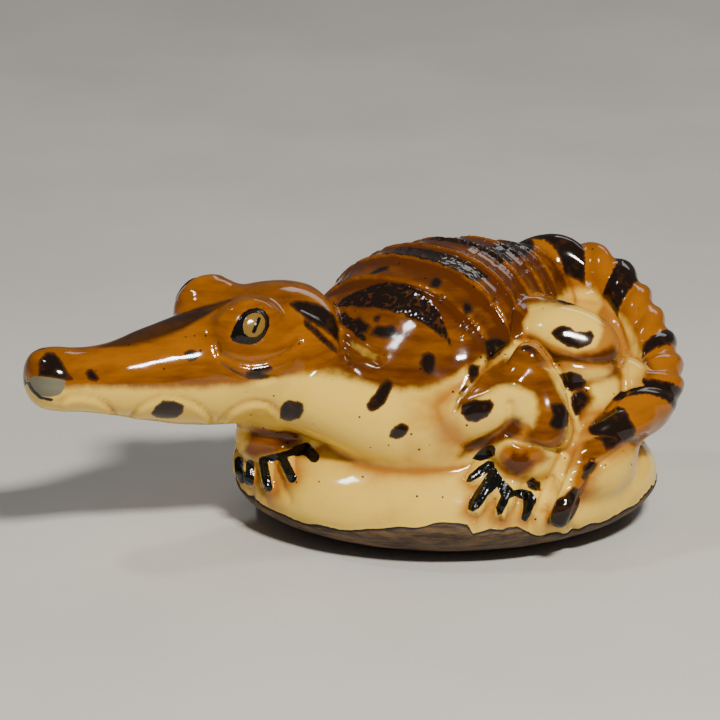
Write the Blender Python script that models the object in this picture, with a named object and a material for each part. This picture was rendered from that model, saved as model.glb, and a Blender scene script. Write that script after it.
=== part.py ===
"""Crocodile carved from one ivory nut, curled on the round of nut that it was cut from.

It is one solid. Metres, +Z up. The carving's longest way, from the snout to the outer bend of the tail, runs along X
with the snout at -X, and the side with the curled tail's tip faces -Y. The origin is on the ground under the middle
of the carving's box.
"""

import math

import bmesh
import bpy
from mathutils import Matrix, Vector

# Driving sizes. The figure's pose and proportions are shares of its length: they are written in millimetres of a
# carving that is FIGURE_MM long, and MM turns them into metres.
LENGTH = 0.058
FIGURE_MM = 58.0
MM = LENGTH / FIGURE_MM

# The round of nut under the figure: its rim is where the carved flesh meets the brown skin.
BASE_X = 8.3
BASE_HALF_LENGTH = 19.0
BASE_HALF_DEPTH = 15.3
RIM_HEIGHT = 4.0
SKIN_DEPTH = 5.0
CROWN_HEIGHT = 7.1

# Toes stand this far out of the nut's flank, and are this thick.
TOE_OUT = 0.3
TOE_RADIUS = 0.72

# Raised plates across the back.
PLATE_SPACING = 3.05
PLATE_FIRST = -4.8
PLATE_RISE = 0.4

# The row of scutes along the tail: the notches between them by share of the tail's length, how far back a notch runs
# for each degree towards the outer side, and how far the widest scute stands out.
SCUTE_NOTCHES = (
    0.0, 0.1, 0.2, 0.262, 0.33, 0.385, 0.44, 0.494, 0.548, 0.6, 0.66, 0.74, 0.8, 0.84, 0.885, 1.0
)
SCUTE_SLANT = -0.0007
SCUTE_RISE = 1.0

# How square the trunk's section is: 2 is an ellipse.
TRUNK_SQUARENESS = 2.4

# How finely the forms are fused, how far the big forms and then all of them are softened, and how many triangles the
# finished solid may have.
FUSE_STEP = 0.36
BODY_SOFTENING_PASSES = 20
LAST_SOFTENING_PASSES = 2
MOST_TRIANGLES = 9400

RING_POINTS = 32
RINGS_PER_SPAN = 8

# The way that the head and the trunk point in plan.
HEAD_FORWARD = Vector((-0.883, -0.470, 0.0))
HEAD_LEFT = Vector((0.470, -0.883, 0.0))
EYES_MIDDLE = Vector((-11.1, -5.2, 0.0))
TRUNK_BACK = Vector((0.62, 0.785, 0.0))
TRUNK_LEFT = Vector((0.785, -0.62, 0.0))
TRUNK_MIDDLE = Vector((8.0, 0.0, 0.0))

# Stations of the head: along the head from the eyes' middle, height, half width and half height.
HEAD = (
    (-10.6, 15.3, 2.5, 2.0),
    (-9.8, 15.4, 5.0, 4.6),
    (-8.0, 15.5, 6.5, 6.15),
    (-4.0, 16.1, 6.9, 6.4),
    (0.0, 15.9, 6.3, 5.5),
    (4.0, 15.8, 5.0, 4.9),
    (8.0, 15.9, 4.0, 4.0),
    (11.5, 16.1, 3.3, 3.1),
    (14.5, 16.5, 3.1, 2.8),
    (16.8, 16.95, 3.15, 2.8),
    (18.3, 17.0, 2.4, 2.3),
    (19.0, 17.0, 0.9, 0.9),
)

# Stations of the trunk: along the trunk and left of its middle, height, half width and half height.
TRUNK = (
    (-12.9, -1.4, 13.2, 1.5, 1.5),
    (-11.7, -1.3, 12.9, 5.2, 3.9),
    (-9.6, -0.9, 12.6, 8.2, 6.0),
    (-6.0, -0.8, 12.2, 10.6, 9.5),
    (-2.0, -1.4, 12.2, 11.3, 11.4),
    (2.0, -1.8, 12.2, 10.8, 11.8),
    (6.0, -1.4, 12.2, 8.8, 11.6),
    (10.0, -0.6, 12.2, 6.6, 10.6),
    (13.0, 0.0, 12.4, 5.0, 9.2),
    (16.0, 0.0, 13.0, 3.0, 6.0),
)

# Stations of the neck, the throat, the limbs and the tail: x, y, z, half width and half height.
NECK = (
    (-7.0, -3.0, 14.5, 4.0, 4.0),
    (-3.0, -1.2, 13.2, 5.0, 4.2),
    (1.0, -0.2, 12.6, 6.5, 4.6),
    (6.0, 0.6, 12.0, 8.0, 6.0),
)
THROAT = (
    (-10.5, -4.8, 13.8, 2.8, 2.7),
    (-7.5, -4.7, 13.4, 4.2, 3.5),
    (-4.5, -4.9, 13.5, 5.2, 3.75),
    (-0.5, -5.9, 12.8, 6.0, 4.1),
    (4.5, -7.0, 11.5, 6.0, 5.3),
    (9.0, -7.0, 11.1, 5.4, 5.4),
    (13.0, -5.5, 11.2, 3.8, 4.2),
)
TAIL = (
    (12.5, 7.0, 16.6, 4.5, 4.5),
    (16.0, 10.4, 17.8, 3.3, 3.9),
    (19.5, 11.3, 17.9, 2.8, 3.7),
    (22.8, 9.8, 17.0, 2.6, 3.6),
    (24.9, 6.6, 15.2, 2.4, 3.3),
    (26.5, 2.5, 13.1, 2.3, 3.0),
    (26.5, -2.0, 11.5, 2.2, 2.7),
    (24.2, -6.4, 10.7, 1.9, 2.1),
    (20.9, -9.9, 9.3, 1.5, 1.8),
    (18.8, -12.4, 7.1, 1.25, 1.5),
    (18.0, -13.9, 5.2, 1.1, 1.3),
    (17.4, -14.7, 4.1, 0.6, 0.6),
)
LEFT_ARM = (
    (6.5, -8.0, 11.8, 4.3, 4.6),
    (10.2, -10.0, 13.0, 3.2, 3.3),
    (13.2, -10.6, 14.3, 2.8, 2.8),
    (15.3, -10.1, 16.2, 2.1, 2.1),
    (16.2, -10.5, 14.4, 2.3, 2.4),
    (16.4, -11.4, 12.4, 2.4, 2.6),
    (16.0, -12.0, 11.4, 2.5, 1.9),
    (15.3, -12.1, 11.0, 2.2, 1.3),
)
RIGHT_ARM = (
    (3.0, 4.0, 13.5, 4.0, 4.0),
    (-0.5, 6.2, 14.2, 3.2, 3.2),
    (-3.2, 6.2, 14.3, 2.8, 2.8),
    (-5.6, 3.6, 12.6, 2.7, 2.7),
    (-6.8, 0.0, 10.6, 2.7, 2.7),
    (-7.2, -3.0, 9.2, 3.0, 2.4),
)
LEFT_THIGH = (
    (11.0, 4.5, 15.5, 4.0, 4.4),
    (15.0, 0.5, 16.2, 3.9, 4.2),
    (18.6, -3.0, 16.5, 4.0, 4.0),
    (21.3, -4.3, 15.9, 3.2, 3.4),
    (22.6, -4.5, 15.2, 1.6, 1.8),
)
LEFT_SHIN = (
    (18.0, -2.6, 15.8, 3.0, 3.0),
    (21.2, -4.0, 14.0, 2.4, 2.4),
    (20.0, -6.4, 12.0, 2.3, 2.3),
    (17.6, -9.0, 10.6, 1.8, 1.8),
)
RIGHT_SHIN = (
    (4.0, 12.0, 14.5, 3.0, 3.0),
    (0.2, 10.6, 13.2, 2.4, 2.4),
    (1.6, 12.6, 10.4, 2.1, 2.1),
    (4.2, 13.6, 8.0, 2.0, 1.8),
)

# Forms that are round in every way: centre, radii and turn about Z in degrees. They are the left thigh, the rump, the
# filling behind the left arm, the right thigh, the filling inside the tail's curl, the left elbow, the left wrist, the
# hollow between the left shin and the tail, and the backs of the right and the left hand.
BALLS = (
    ((18.3, -3.8, 16.7), (4.6, 3.4, 3.9), 0.0),
    ((18.0, 2.0, 9.5), (8.5, 9.5, 8.0), 0.0),
    ((15.5, -5.0, 12.0), (4.5, 4.5, 4.0), 0.0),
    ((6.5, 11.5, 14.5), (5.4, 3.8, 4.2), -25.0),
    ((19.5, -6.5, 8.0), (5.6, 6.4, 4.7), 0.0),
    ((15.2, -9.9, 17.6), (1.7, 1.7, 1.8), 0.0),
    ((13.8, -12.0, 10.4), (2.2, 1.8, 1.9), 0.0),
    ((24.0, -2.8, 13.2), (2.6, 3.0, 2.3), 0.0),
    ((-7.2, -4.0, 8.4), (3.5, 3.0, 2.7), 0.0),
    ((14.9, -12.1, 9.3), (2.9, 2.1, 2.0), 0.0),
)

# The eyes' mounds and the left cheek: forward and left of the eyes' middle, height and radii, and how far all of them
# are turned about Z in degrees.
EYE_MOUNDS = (
    ((-0.4, 3.4, 19.3), (3.5, 3.1, 3.4)),
    ((-1.5, 3.2, 17.4), (5.2, 3.8, 3.8)),
    ((-0.35, -3.9, 19.5), (3.5, 3.0, 3.2)),
)
EYE_MOUNDS_TURN = 28.0

# Knuckle and tip of each toe: x and z of both, on the flank that faces -Y or, with 1, the one that faces +Y.
TOES = (
    ((12.3, 9.9), (10.5, 9.1), -1),
    ((12.2, 8.9), (10.0, 7.5), -1),
    ((12.5, 8.1), (10.2, 5.3), -1),
    ((13.6, 7.2), (12.6, 4.9), -1),
    ((15.6, 6.6), (15.0, 4.6), -1),
    ((-9.7, 6.5), (-10.1, 4.7), -1),
    ((-9.0, 6.9), (-9.0, 4.9), -1),
    ((-7.7, 7.6), (-7.3, 5.1), -1),
    ((-6.2, 8.3), (-5.4, 6.4), -1),
    ((-4.5, 9.4), (-3.3, 8.5), -1),
    ((2.8, 7.5), (0.8, 6.2), 1),
    ((3.6, 7.0), (2.2, 5.0), 1),
    ((4.8, 7.0), (4.6, 4.8), 1),
    ((6.0, 7.5), (6.8, 5.4), 1),
)
PADS = (
    ((15.2, 8.3), (3.1, 2.5, 1.5), -1),
    ((13.6, 8.8), (2.6, 2.2, 1.4), -1),
    ((-7.0, 8.1), (3.0, 2.4, 1.8), -1),
    ((4.4, 7.8), (2.8, 2.4, 1.6), 1),
)


def spline_rows(stations, per_span):
    """The stations and, between each two, per_span - 1 rows on a Catmull-Rom spline through them."""
    ends = [stations[0], *stations, stations[-1]]
    rows = []
    for before, start, end, after in zip(ends, ends[1:], ends[2:], ends[3:]):
        for step in range(per_span):
            t = step / per_span
            rows.append(
                tuple(
                    0.5
                    * (
                        2 * q
                        + (r - p) * t
                        + (2 * p - 5 * q + 4 * r - s) * t * t
                        + (3 * q - p - 3 * r + s) * t**3
                    )
                    for p, q, r, s in zip(before, start, end, after)
                )
            )
    return [*rows, tuple(stations[-1])]


def ring_placement(centre, along, half_width, half_height):
    """The matrix that puts a unit circle across the way along, its width level where it can be."""
    along = along.normalized()
    side = along.cross(Vector((0, 0, 1)))
    if side.length < 0.2:
        side = along.cross(Vector((1, 0, 0)))
    side.normalize()
    up = side.cross(along)
    turn = Matrix((side, up, along)).transposed().to_4x4()
    size = Matrix.Diagonal((half_width, half_height, 1, 1))
    return Matrix.Translation(centre) @ turn @ size


def join_rings(bm, rings):
    """Close a run of rings into a tube with two ends."""
    count = len(rings[0])
    for first, second in zip(rings, rings[1:]):
        for a in range(count):
            b = (a + 1) % count
            bm.faces.new((first[a], first[b], second[b], second[a]))
    bm.faces.new(reversed(rings[0]))
    bm.faces.new(rings[-1])


def add_ring(bm, placement):
    made = bmesh.ops.create_circle(
        bm, segments=RING_POINTS, radius=1, matrix=placement
    )
    return made["verts"]


def tube_placements(rows):
    """Where each row's ring lies: across the line through the rows' centres."""
    points = [Vector(row[:3]) for row in rows]
    last = len(rows) - 1
    return [
        ring_placement(
            points[i],
            points[min(i + 1, last)] - points[max(i - 1, 0)],
            max(row[3], 0.1),
            max(row[4], 0.1),
        )
        for i, row in enumerate(rows)
    ]


def add_tube(bm, stations):
    """A closed tube through rings at the stations."""
    rows = spline_rows(stations, RINGS_PER_SPAN)
    join_rings(bm, [add_ring(bm, place) for place in tube_placements(rows)])


def add_trunk(bm):
    """The trunk's tube: squarer than an ellipse, its back crossed by the ridges of the plates."""
    rings = []
    for row in spline_rows(TRUNK, 3 * RINGS_PER_SPAN):
        along, left, height, half_width, half_height = row
        middle = on_trunk(along, left, height)
        ring = add_ring(bm, ring_placement(middle, TRUNK_BACK, half_width, half_height))
        past = (along - PLATE_FIRST) / PLATE_SPACING
        ridge = 0.0 if past < -0.3 else max(0.0, 1 - (past % 1) * 2.2, (past % 1) * 5 - 4)
        for vert in ring:
            out = vert.co - middle
            across = abs(out.dot(TRUNK_LEFT)) / half_width
            up = abs(out.z) / half_height
            n = TRUNK_SQUARENESS
            out *= (across**n + up**n) ** (-1 / n)
            back = min(1.0, max(0.0, (out.z / half_height - 0.45) * 5))
            vert.co = middle + out + out.normalized() * (PLATE_RISE * ridge * back)
        rings.append(ring)
    join_rings(bm, rings)


def scute_swell(share, angle):
    """How much of its rise a scute has at a share of the tail's length and an angle round the tail."""
    share -= SCUTE_SLANT * (angle - 100)
    for low, high in zip(SCUTE_NOTCHES, SCUTE_NOTCHES[1:]):
        if low <= share < high:
            return math.sin(math.pi * (share - low) / (high - low)) ** 0.6
    return 0.0


def add_tail(bm):
    """The tail's tube, whose outer top side swells into a row of scutes with a notch between each two."""
    rows = spline_rows(TAIL, 3 * RINGS_PER_SPAN)
    rings = []
    places = tube_placements(rows)
    for i, (row, place) in enumerate(zip(rows, places)):
        ring = add_ring(bm, place)
        outward = -place.to_3x3().col[0].normalized()
        if outward.dot(Vector(row[:3]) - Vector((13.0, 1.0, row[2]))) < 0:
            outward.negate()
        lean = (outward * 0.5 + Vector((0, 0, 1)) * 0.87).normalized()
        level, upward = place.to_3x3().col[0], place.to_3x3().col[1]
        rise = SCUTE_RISE * row[4] / TAIL[2][4]
        for vert in ring:
            out = vert.co - Vector(row[:3])
            facing = min(1.0, max(0.0, out.normalized().dot(lean) * 1.6 - 0.2))
            turn = math.atan2(out.dot(upward) / upward.length_squared, out.dot(level) / level.length_squared)
            angle = (math.degrees(turn) + 90) % 360 - 90
            swell = scute_swell(i / (len(rows) - 1), angle)
            vert.co += out.normalized() * (rise * swell * facing)
        rings.append(ring)
    join_rings(bm, rings)


def add_ball(bm, centre, radii, turn=0.0):
    """An ellipsoid at centre, turned about Z by turn degrees."""
    place = (
        Matrix.Translation(centre)
        @ Matrix.Rotation(math.radians(turn), 4, "Z")
        @ Matrix.Diagonal((*radii, 1))
    )
    bmesh.ops.create_icosphere(bm, subdivisions=4, radius=1, matrix=place)


def on_head(along, left, height):
    """A point of the head, by how far forward and how far left of the eyes' middle it lies."""
    place = EYES_MIDDLE + HEAD_FORWARD * along + HEAD_LEFT * left
    return Vector((place.x, place.y, height))


def on_trunk(along, left, height):
    """A point of the trunk, by how far back and how far left of its middle it lies."""
    place = TRUNK_MIDDLE + TRUNK_BACK * along + TRUNK_LEFT * left
    return Vector((place.x, place.y, height))


def on_flank(x, z, side):
    """The point of the nut's flank at x and z, and the way that its surface faces there."""
    across = (x - BASE_X) / BASE_HALF_LENGTH
    up = (z - RIM_HEIGHT) / CROWN_HEIGHT
    out = math.sqrt(max(0.004, 1 - across**2 - up**2))
    point = Vector((x, side * BASE_HALF_DEPTH * out, z))
    facing = Vector(
        (
            across / BASE_HALF_LENGTH,
            side * out / BASE_HALF_DEPTH,
            up / CROWN_HEIGHT,
        )
    )
    return point, facing.normalized()


def add_base(bm):
    """The round of nut: a domed crown over the rim and a shallower round of skin below it."""
    made = bmesh.ops.create_uvsphere(bm, u_segments=64, v_segments=40, radius=1)
    for vert in made["verts"]:
        p = vert.co
        depth = CROWN_HEIGHT if p.z > 0 else SKIN_DEPTH
        vert.co = (
            BASE_X + p.x * BASE_HALF_LENGTH,
            p.y * BASE_HALF_DEPTH,
            RIM_HEIGHT + p.z * depth,
        )


def add_feet(bm):
    """Pads and toes that lie on the nut's flank."""
    for (x, z), (long, tall, thick), side in PADS:
        point, facing = on_flank(x, z, side)
        turn = facing.to_track_quat("Z", "Y").to_matrix().to_4x4()
        place = Matrix.Translation(point) @ turn @ Matrix.Diagonal((long, tall, thick, 1))
        bmesh.ops.create_icosphere(bm, subdivisions=4, radius=1, matrix=place)
    for knuckle, tip, side in TOES:
        stations = []
        for share, radius in ((0.0, 1.0), (0.5, 0.95), (1.0, 0.6)):
            x = knuckle[0] + (tip[0] - knuckle[0]) * share
            z = knuckle[1] + (tip[1] - knuckle[1]) * share
            point, facing = on_flank(x, z, side)
            point += facing * TOE_OUT
            stations.append((*point, TOE_RADIUS * radius, TOE_RADIUS * radius))
        add_tube(bm, stations)


def build_body(bm):
    add_base(bm)
    add_tube(bm, [(*on_head(a, 0, z), w, h) for a, z, w, h in HEAD])
    add_trunk(bm)
    for stations in (NECK, THROAT, TAIL, LEFT_ARM, RIGHT_ARM, LEFT_THIGH, LEFT_SHIN, RIGHT_SHIN):
        add_tube(bm, stations)
    for centre, radii, turn in BALLS:
        add_ball(bm, centre, radii, turn)
    for place, radii in EYE_MOUNDS:
        add_ball(bm, on_head(*place), radii, EYE_MOUNDS_TURN)


def build_details(bm):
    add_trunk(bm)
    add_tail(bm)
    add_feet(bm)


def new_object(bm, name):
    bmesh.ops.recalc_face_normals(bm, faces=bm.faces)
    mesh = bpy.data.meshes.new(name)
    bm.to_mesh(mesh)
    bm.free()
    made = bpy.data.objects.new(name, mesh)
    bpy.context.scene.collection.objects.link(made)
    return made


def shells_of(bm):
    """The closed skins of a mesh, as lists of their vertices."""
    left, shells = set(bm.verts), []
    while left:
        shell, reached = [], [left.pop()]
        while reached:
            vert = reached.pop()
            shell.append(vert)
            fresh = {edge.other_vert(vert) for edge in vert.link_edges} & left
            left -= fresh
            reached += fresh
        shells.append(shell)
    return shells


def fill_bubbles(mesh):
    """Fill the tiny hollows that the fusing grid can close off between two forms: their skins face inwards."""
    bm = bmesh.new()
    bm.from_mesh(mesh)
    bmesh.ops.triangulate(bm, faces=bm.faces)
    for shell in shells_of(bm):
        corners = [[vert.co for vert in face.verts] for face in {f for vert in shell for f in vert.link_faces}]
        if sum(a.dot(b.cross(c)) for a, b, c in corners) < 0:
            bmesh.ops.delete(bm, geom=shell, context="VERTS")
    bm.to_mesh(mesh)
    bm.free()


def fused(made, passes):
    """Fuse all forms of an object into one closed skin and soften it, and return the new mesh."""
    fuse = made.modifiers.new("fuse", "REMESH")
    fuse.mode = "VOXEL"
    fuse.voxel_size = FUSE_STEP
    soften = made.modifiers.new("soften", "SMOOTH")
    soften.factor = 0.5
    soften.iterations = round(passes)
    seen = made.evaluated_get(bpy.context.evaluated_depsgraph_get())
    mesh = bpy.data.meshes.new_from_object(seen)
    bpy.data.objects.remove(made)
    fill_bubbles(mesh)
    return mesh


def stand_on_ground(mesh):
    """Cut the nut flat at height 0 and move the middle of the carving's box over the origin."""
    bm = bmesh.new()
    bm.from_mesh(mesh)
    everything = [*bm.verts, *bm.edges, *bm.faces]
    bmesh.ops.bisect_plane(
        bm, geom=everything, plane_co=(0, 0, 0), plane_no=(0, 0, -1), clear_outer=True
    )
    rim = [edge for edge in bm.edges if edge.is_boundary]
    bmesh.ops.contextual_create(bm, geom=rim)
    bmesh.ops.recalc_face_normals(bm, faces=bm.faces)
    xs = [vert.co.x for vert in bm.verts]
    ys = [vert.co.y for vert in bm.verts]
    middle = Vector(((min(xs) + max(xs)) / 2, (min(ys) + max(ys)) / 2, 0))
    bmesh.ops.translate(bm, vec=-middle, verts=bm.verts)
    bmesh.ops.scale(bm, vec=(MM, MM, MM), verts=bm.verts)
    bm.to_mesh(mesh)
    bm.free()


def ivory():
    made = bpy.data.materials.new("ivory_nut")
    made.use_nodes = True
    shader = made.node_tree.nodes["Principled BSDF"]
    shader.inputs["Base Color"].default_value = (0.45, 0.22, 0.06, 1)
    shader.inputs["Roughness"].default_value = 0.3
    return made


def main():
    for old in list(bpy.data.objects):
        bpy.data.objects.remove(old)
    bm = bmesh.new()
    build_body(bm)
    body = fused(new_object(bm, "body"), BODY_SOFTENING_PASSES)
    bm = bmesh.new()
    build_details(bm)
    bmesh.ops.recalc_face_normals(bm, faces=bm.faces)
    bm.from_mesh(body)
    mesh = fused(new_object(bm, "forms"), LAST_SOFTENING_PASSES)
    stand_on_ground(mesh)
    mesh.materials.append(ivory())
    carving = bpy.data.objects.new("crocodile_carving", mesh)
    bpy.context.scene.collection.objects.link(carving)
    thin = carving.modifiers.new("thin", "DECIMATE")
    thin.ratio = MOST_TRIANGLES / sum(len(p.vertices) - 2 for p in mesh.polygons)


main()
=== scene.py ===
"""Crocodile carved from one ivory nut: its fine carving, stain, spots and varnish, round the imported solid.

Lengths in the tables are millimetres of the carving, with the nut's underside at height 0. Marks on the side
towards the camera are placed by where they lie in the camera's picture, taken as 720 by 720.
"""

import math

import bpy
import numpy as np
from bpy.props import FloatProperty, FloatVectorProperty, IntProperty, PointerProperty
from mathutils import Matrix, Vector
from mathutils.bvhtree import BVHTree


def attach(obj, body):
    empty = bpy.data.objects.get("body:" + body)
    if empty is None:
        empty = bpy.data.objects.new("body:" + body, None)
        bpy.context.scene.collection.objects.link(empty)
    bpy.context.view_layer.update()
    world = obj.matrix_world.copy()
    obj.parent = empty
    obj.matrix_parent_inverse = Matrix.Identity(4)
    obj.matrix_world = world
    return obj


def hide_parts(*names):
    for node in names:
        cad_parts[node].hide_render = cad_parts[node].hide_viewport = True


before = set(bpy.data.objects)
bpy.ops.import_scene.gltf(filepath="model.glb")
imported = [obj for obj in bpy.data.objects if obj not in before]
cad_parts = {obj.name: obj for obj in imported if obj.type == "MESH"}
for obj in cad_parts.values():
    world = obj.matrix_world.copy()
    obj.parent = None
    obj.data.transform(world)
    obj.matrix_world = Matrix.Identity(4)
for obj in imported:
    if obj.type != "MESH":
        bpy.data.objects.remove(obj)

bl_info = {
    "name": "Ivory nut crocodile",
    "version": (1, 0, 0),
    "blender": (4, 5, 0),
    "location": "View3D > Sidebar > Crocodile",
    "description": "Carves, stains and varnishes a small crocodile of ivory nut, and sets its stage",
    "category": "Object",
}

CAD_NODE = "crocodile_carving"
PIECE = "carved_crocodile"
FIGURE_MM = 58.0
LENGTH = 0.058
MM = LENGTH / FIGURE_MM

# The figure's forms, as the solid has them.

BASE_X, BASE_HALF_LENGTH, BASE_HALF_DEPTH = 8.3, 19.0, 15.3
RIM_HEIGHT, SKIN_DEPTH, CROWN_HEIGHT = 4.0, 5.0, 7.1
TOE_OUT, TOE_RADIUS = 0.3, 0.72
SCUTE_NOTCHES = (
    0.0, 0.1, 0.2, 0.262, 0.33, 0.385, 0.44, 0.494, 0.548, 0.6, 0.66, 0.74, 0.8, 0.84, 0.885, 1.0,
)
SCUTE_SLANT = -0.0007
SCUTE_CREST_ANGLE = 100
TAIL_LENGTH = 52.0
TAIL_READING_ROWS = 24
TRUNK_SQUARENESS = 2.4
RINGS_PER_SPAN = 8
UPWARDS = np.array((0.0, 0.0, 1.0))
PARTS = (
    "head", "trunk", "tail", "left_arm", "left_thigh", "left_shin", "right_arm", "right_leg", "base", "feet",
)

HEAD_FORWARD = np.array((-0.883, -0.470, 0.0))
HEAD_LEFT = np.array((0.470, -0.883, 0.0))
EYES_MIDDLE = np.array((-11.1, -5.2, 0.0))
TRUNK_BACK = np.array((0.62, 0.785, 0.0))
TRUNK_LEFT = np.array((0.785, -0.62, 0.0))
TRUNK_MIDDLE = np.array((8.0, 0.0, 0.0))
SPINE_LEFT = -1.2

# Along the head from the eyes' middle, height, half width and half height.
HEAD = (
    (-10.6, 15.3, 2.5, 2.0), (-9.8, 15.4, 5.0, 4.6), (-8.0, 15.5, 6.5, 6.15), (-4.0, 16.1, 6.9, 6.4),
    (0.0, 15.9, 6.3, 5.5), (4.0, 15.8, 5.0, 4.9), (8.0, 15.9, 4.0, 4.0), (11.5, 16.1, 3.3, 3.1),
    (14.5, 16.5, 3.1, 2.8), (16.8, 16.95, 3.15, 2.8), (18.3, 17.0, 2.4, 2.3), (19.0, 17.0, 0.9, 0.9),
)
# Along the trunk and left of its middle, height, half width and half height.
TRUNK = (
    (-12.9, -1.4, 13.2, 1.5, 1.5), (-11.7, -1.3, 12.9, 5.2, 3.9), (-9.6, -0.9, 12.6, 8.2, 6.0),
    (-6.0, -0.8, 12.2, 10.6, 9.5), (-2.0, -1.4, 12.2, 11.3, 11.4), (2.0, -1.8, 12.2, 10.8, 11.8),
    (6.0, -1.4, 12.2, 8.8, 11.6), (10.0, -0.6, 12.2, 6.6, 10.6), (13.0, 0.0, 12.4, 5.0, 9.2),
    (16.0, 0.0, 13.0, 3.0, 6.0),
)
# x, y, z, half width and half height.
NECK = (
    (-7.0, -3.0, 14.5, 4.0, 4.0), (-3.0, -1.2, 13.2, 5.0, 4.2), (1.0, -0.2, 12.6, 6.5, 4.6),
    (6.0, 0.6, 12.0, 8.0, 6.0),
)
THROAT = (
    (-10.5, -4.8, 13.8, 2.8, 2.7), (-7.5, -4.7, 13.4, 4.2, 3.5), (-4.5, -4.9, 13.5, 5.2, 3.75),
    (-0.5, -5.9, 12.8, 6.0, 4.1), (4.5, -7.0, 11.5, 6.0, 5.3), (9.0, -7.0, 11.1, 5.4, 5.4),
    (13.0, -5.5, 11.2, 3.8, 4.2),
)
TAIL = (
    (12.5, 7.0, 16.6, 4.5, 4.5), (16.0, 10.4, 17.8, 3.3, 3.9), (19.5, 11.3, 17.9, 2.8, 3.7),
    (22.8, 9.8, 17.0, 2.6, 3.6), (24.9, 6.6, 15.2, 2.4, 3.3), (26.5, 2.5, 13.1, 2.3, 3.0),
    (26.5, -2.0, 11.5, 2.2, 2.7), (24.2, -6.4, 10.7, 1.9, 2.1), (20.9, -9.9, 9.3, 1.5, 1.8),
    (18.8, -12.4, 7.1, 1.25, 1.5), (18.0, -13.9, 5.2, 1.1, 1.3), (17.4, -14.7, 4.1, 0.6, 0.6),
)
LEFT_ARM = (
    (6.5, -8.0, 11.8, 4.3, 4.6), (10.2, -10.0, 13.0, 3.2, 3.3), (13.2, -10.6, 14.3, 2.8, 2.8),
    (15.3, -10.1, 16.2, 2.1, 2.1), (16.2, -10.5, 14.4, 2.3, 2.4), (16.4, -11.4, 12.4, 2.4, 2.6),
    (16.0, -12.0, 11.4, 2.5, 1.9), (15.3, -12.1, 11.0, 2.2, 1.3),
)
RIGHT_ARM = (
    (3.0, 4.0, 13.5, 4.0, 4.0), (-0.5, 6.2, 14.2, 3.2, 3.2), (-3.2, 6.2, 14.3, 2.8, 2.8),
    (-5.6, 3.6, 12.6, 2.7, 2.7), (-6.8, 0.0, 10.6, 2.7, 2.7), (-7.2, -3.0, 9.2, 3.0, 2.4),
)
LEFT_THIGH = (
    (11.0, 4.5, 15.5, 4.0, 4.4), (15.0, 0.5, 16.2, 3.9, 4.2), (18.6, -3.0, 16.5, 4.0, 4.0),
    (21.3, -4.3, 15.9, 3.2, 3.4), (22.6, -4.5, 15.2, 1.6, 1.8),
)
LEFT_SHIN = (
    (18.0, -2.6, 15.8, 3.0, 3.0), (21.2, -4.0, 14.0, 2.4, 2.4), (20.0, -6.4, 12.0, 2.3, 2.3),
    (17.6, -9.0, 10.6, 1.8, 1.8),
)
RIGHT_SHIN = (
    (4.0, 12.0, 14.5, 3.0, 3.0), (0.2, 10.6, 13.2, 2.4, 2.4), (1.6, 12.6, 10.4, 2.1, 2.1),
    (4.2, 13.6, 8.0, 2.0, 1.8),
)
# Part of the figure, centre, radii and turn about Z.
BALLS = (
    ("left_thigh", (18.3, -3.8, 16.7), (4.6, 3.4, 3.9), 0.0),
    ("trunk", (18.0, 2.0, 9.5), (8.5, 9.5, 8.0), 0.0),
    ("left_shin", (15.5, -5.0, 12.0), (4.5, 4.5, 4.0), 0.0),
    ("right_leg", (6.5, 11.5, 14.5), (5.4, 3.8, 4.2), -25.0),
    ("base", (19.5, -6.5, 8.0), (5.6, 6.4, 4.7), 0.0),
    ("left_arm", (15.2, -9.9, 17.6), (1.7, 1.7, 1.8), 0.0),
    ("left_arm", (13.8, -12.0, 10.4), (2.2, 1.8, 1.9), 0.0),
    ("base", (24.0, -2.8, 13.2), (2.6, 3.0, 2.3), 0.0),
    ("right_arm", (-7.2, -4.0, 8.4), (3.5, 3.0, 2.7), 0.0),
    ("left_arm", (14.9, -12.1, 9.3), (2.9, 2.1, 2.0), 0.0),
)
# Forward and left of the eyes' middle, height and radii.
EYE_MOUNDS = (
    ((-0.4, 3.4, 19.3), (3.5, 3.1, 3.4)),
    ((-1.5, 3.2, 17.4), (5.2, 3.8, 3.8)),
    ((-0.35, -3.9, 19.5), (3.5, 3.0, 3.2)),
)
HEAD_TURN = 28.0
# Knuckle and tip of each toe, x and z, on the nut's flank towards -Y or +Y.
TOES = (
    ((12.3, 9.9), (10.5, 9.1), -1), ((12.2, 8.9), (10.0, 7.5), -1), ((12.5, 8.1), (10.2, 5.3), -1),
    ((13.6, 7.2), (12.6, 4.9), -1), ((15.6, 6.6), (15.0, 4.6), -1), ((-9.7, 6.5), (-10.1, 4.7), -1),
    ((-9.0, 6.9), (-9.0, 4.9), -1), ((-7.7, 7.6), (-7.3, 5.1), -1), ((-6.2, 8.3), (-5.4, 6.4), -1),
    ((-4.5, 9.4), (-3.3, 8.5), -1), ((2.8, 7.5), (0.8, 6.2), 1), ((3.6, 7.0), (2.2, 5.0), 1),
    ((4.8, 7.0), (4.6, 4.8), 1), ((6.0, 7.5), (6.8, 5.4), 1),
)
PADS = (
    ((15.2, 8.3), (3.1, 2.5, 1.5), -1), ((13.6, 8.8), (2.6, 2.2, 1.4), -1),
    ((-7.0, 8.1), (3.0, 2.4, 1.8), -1), ((4.4, 7.8), (2.8, 2.4, 1.6), 1),
)

# Marks, by their place in the picture.

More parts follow.
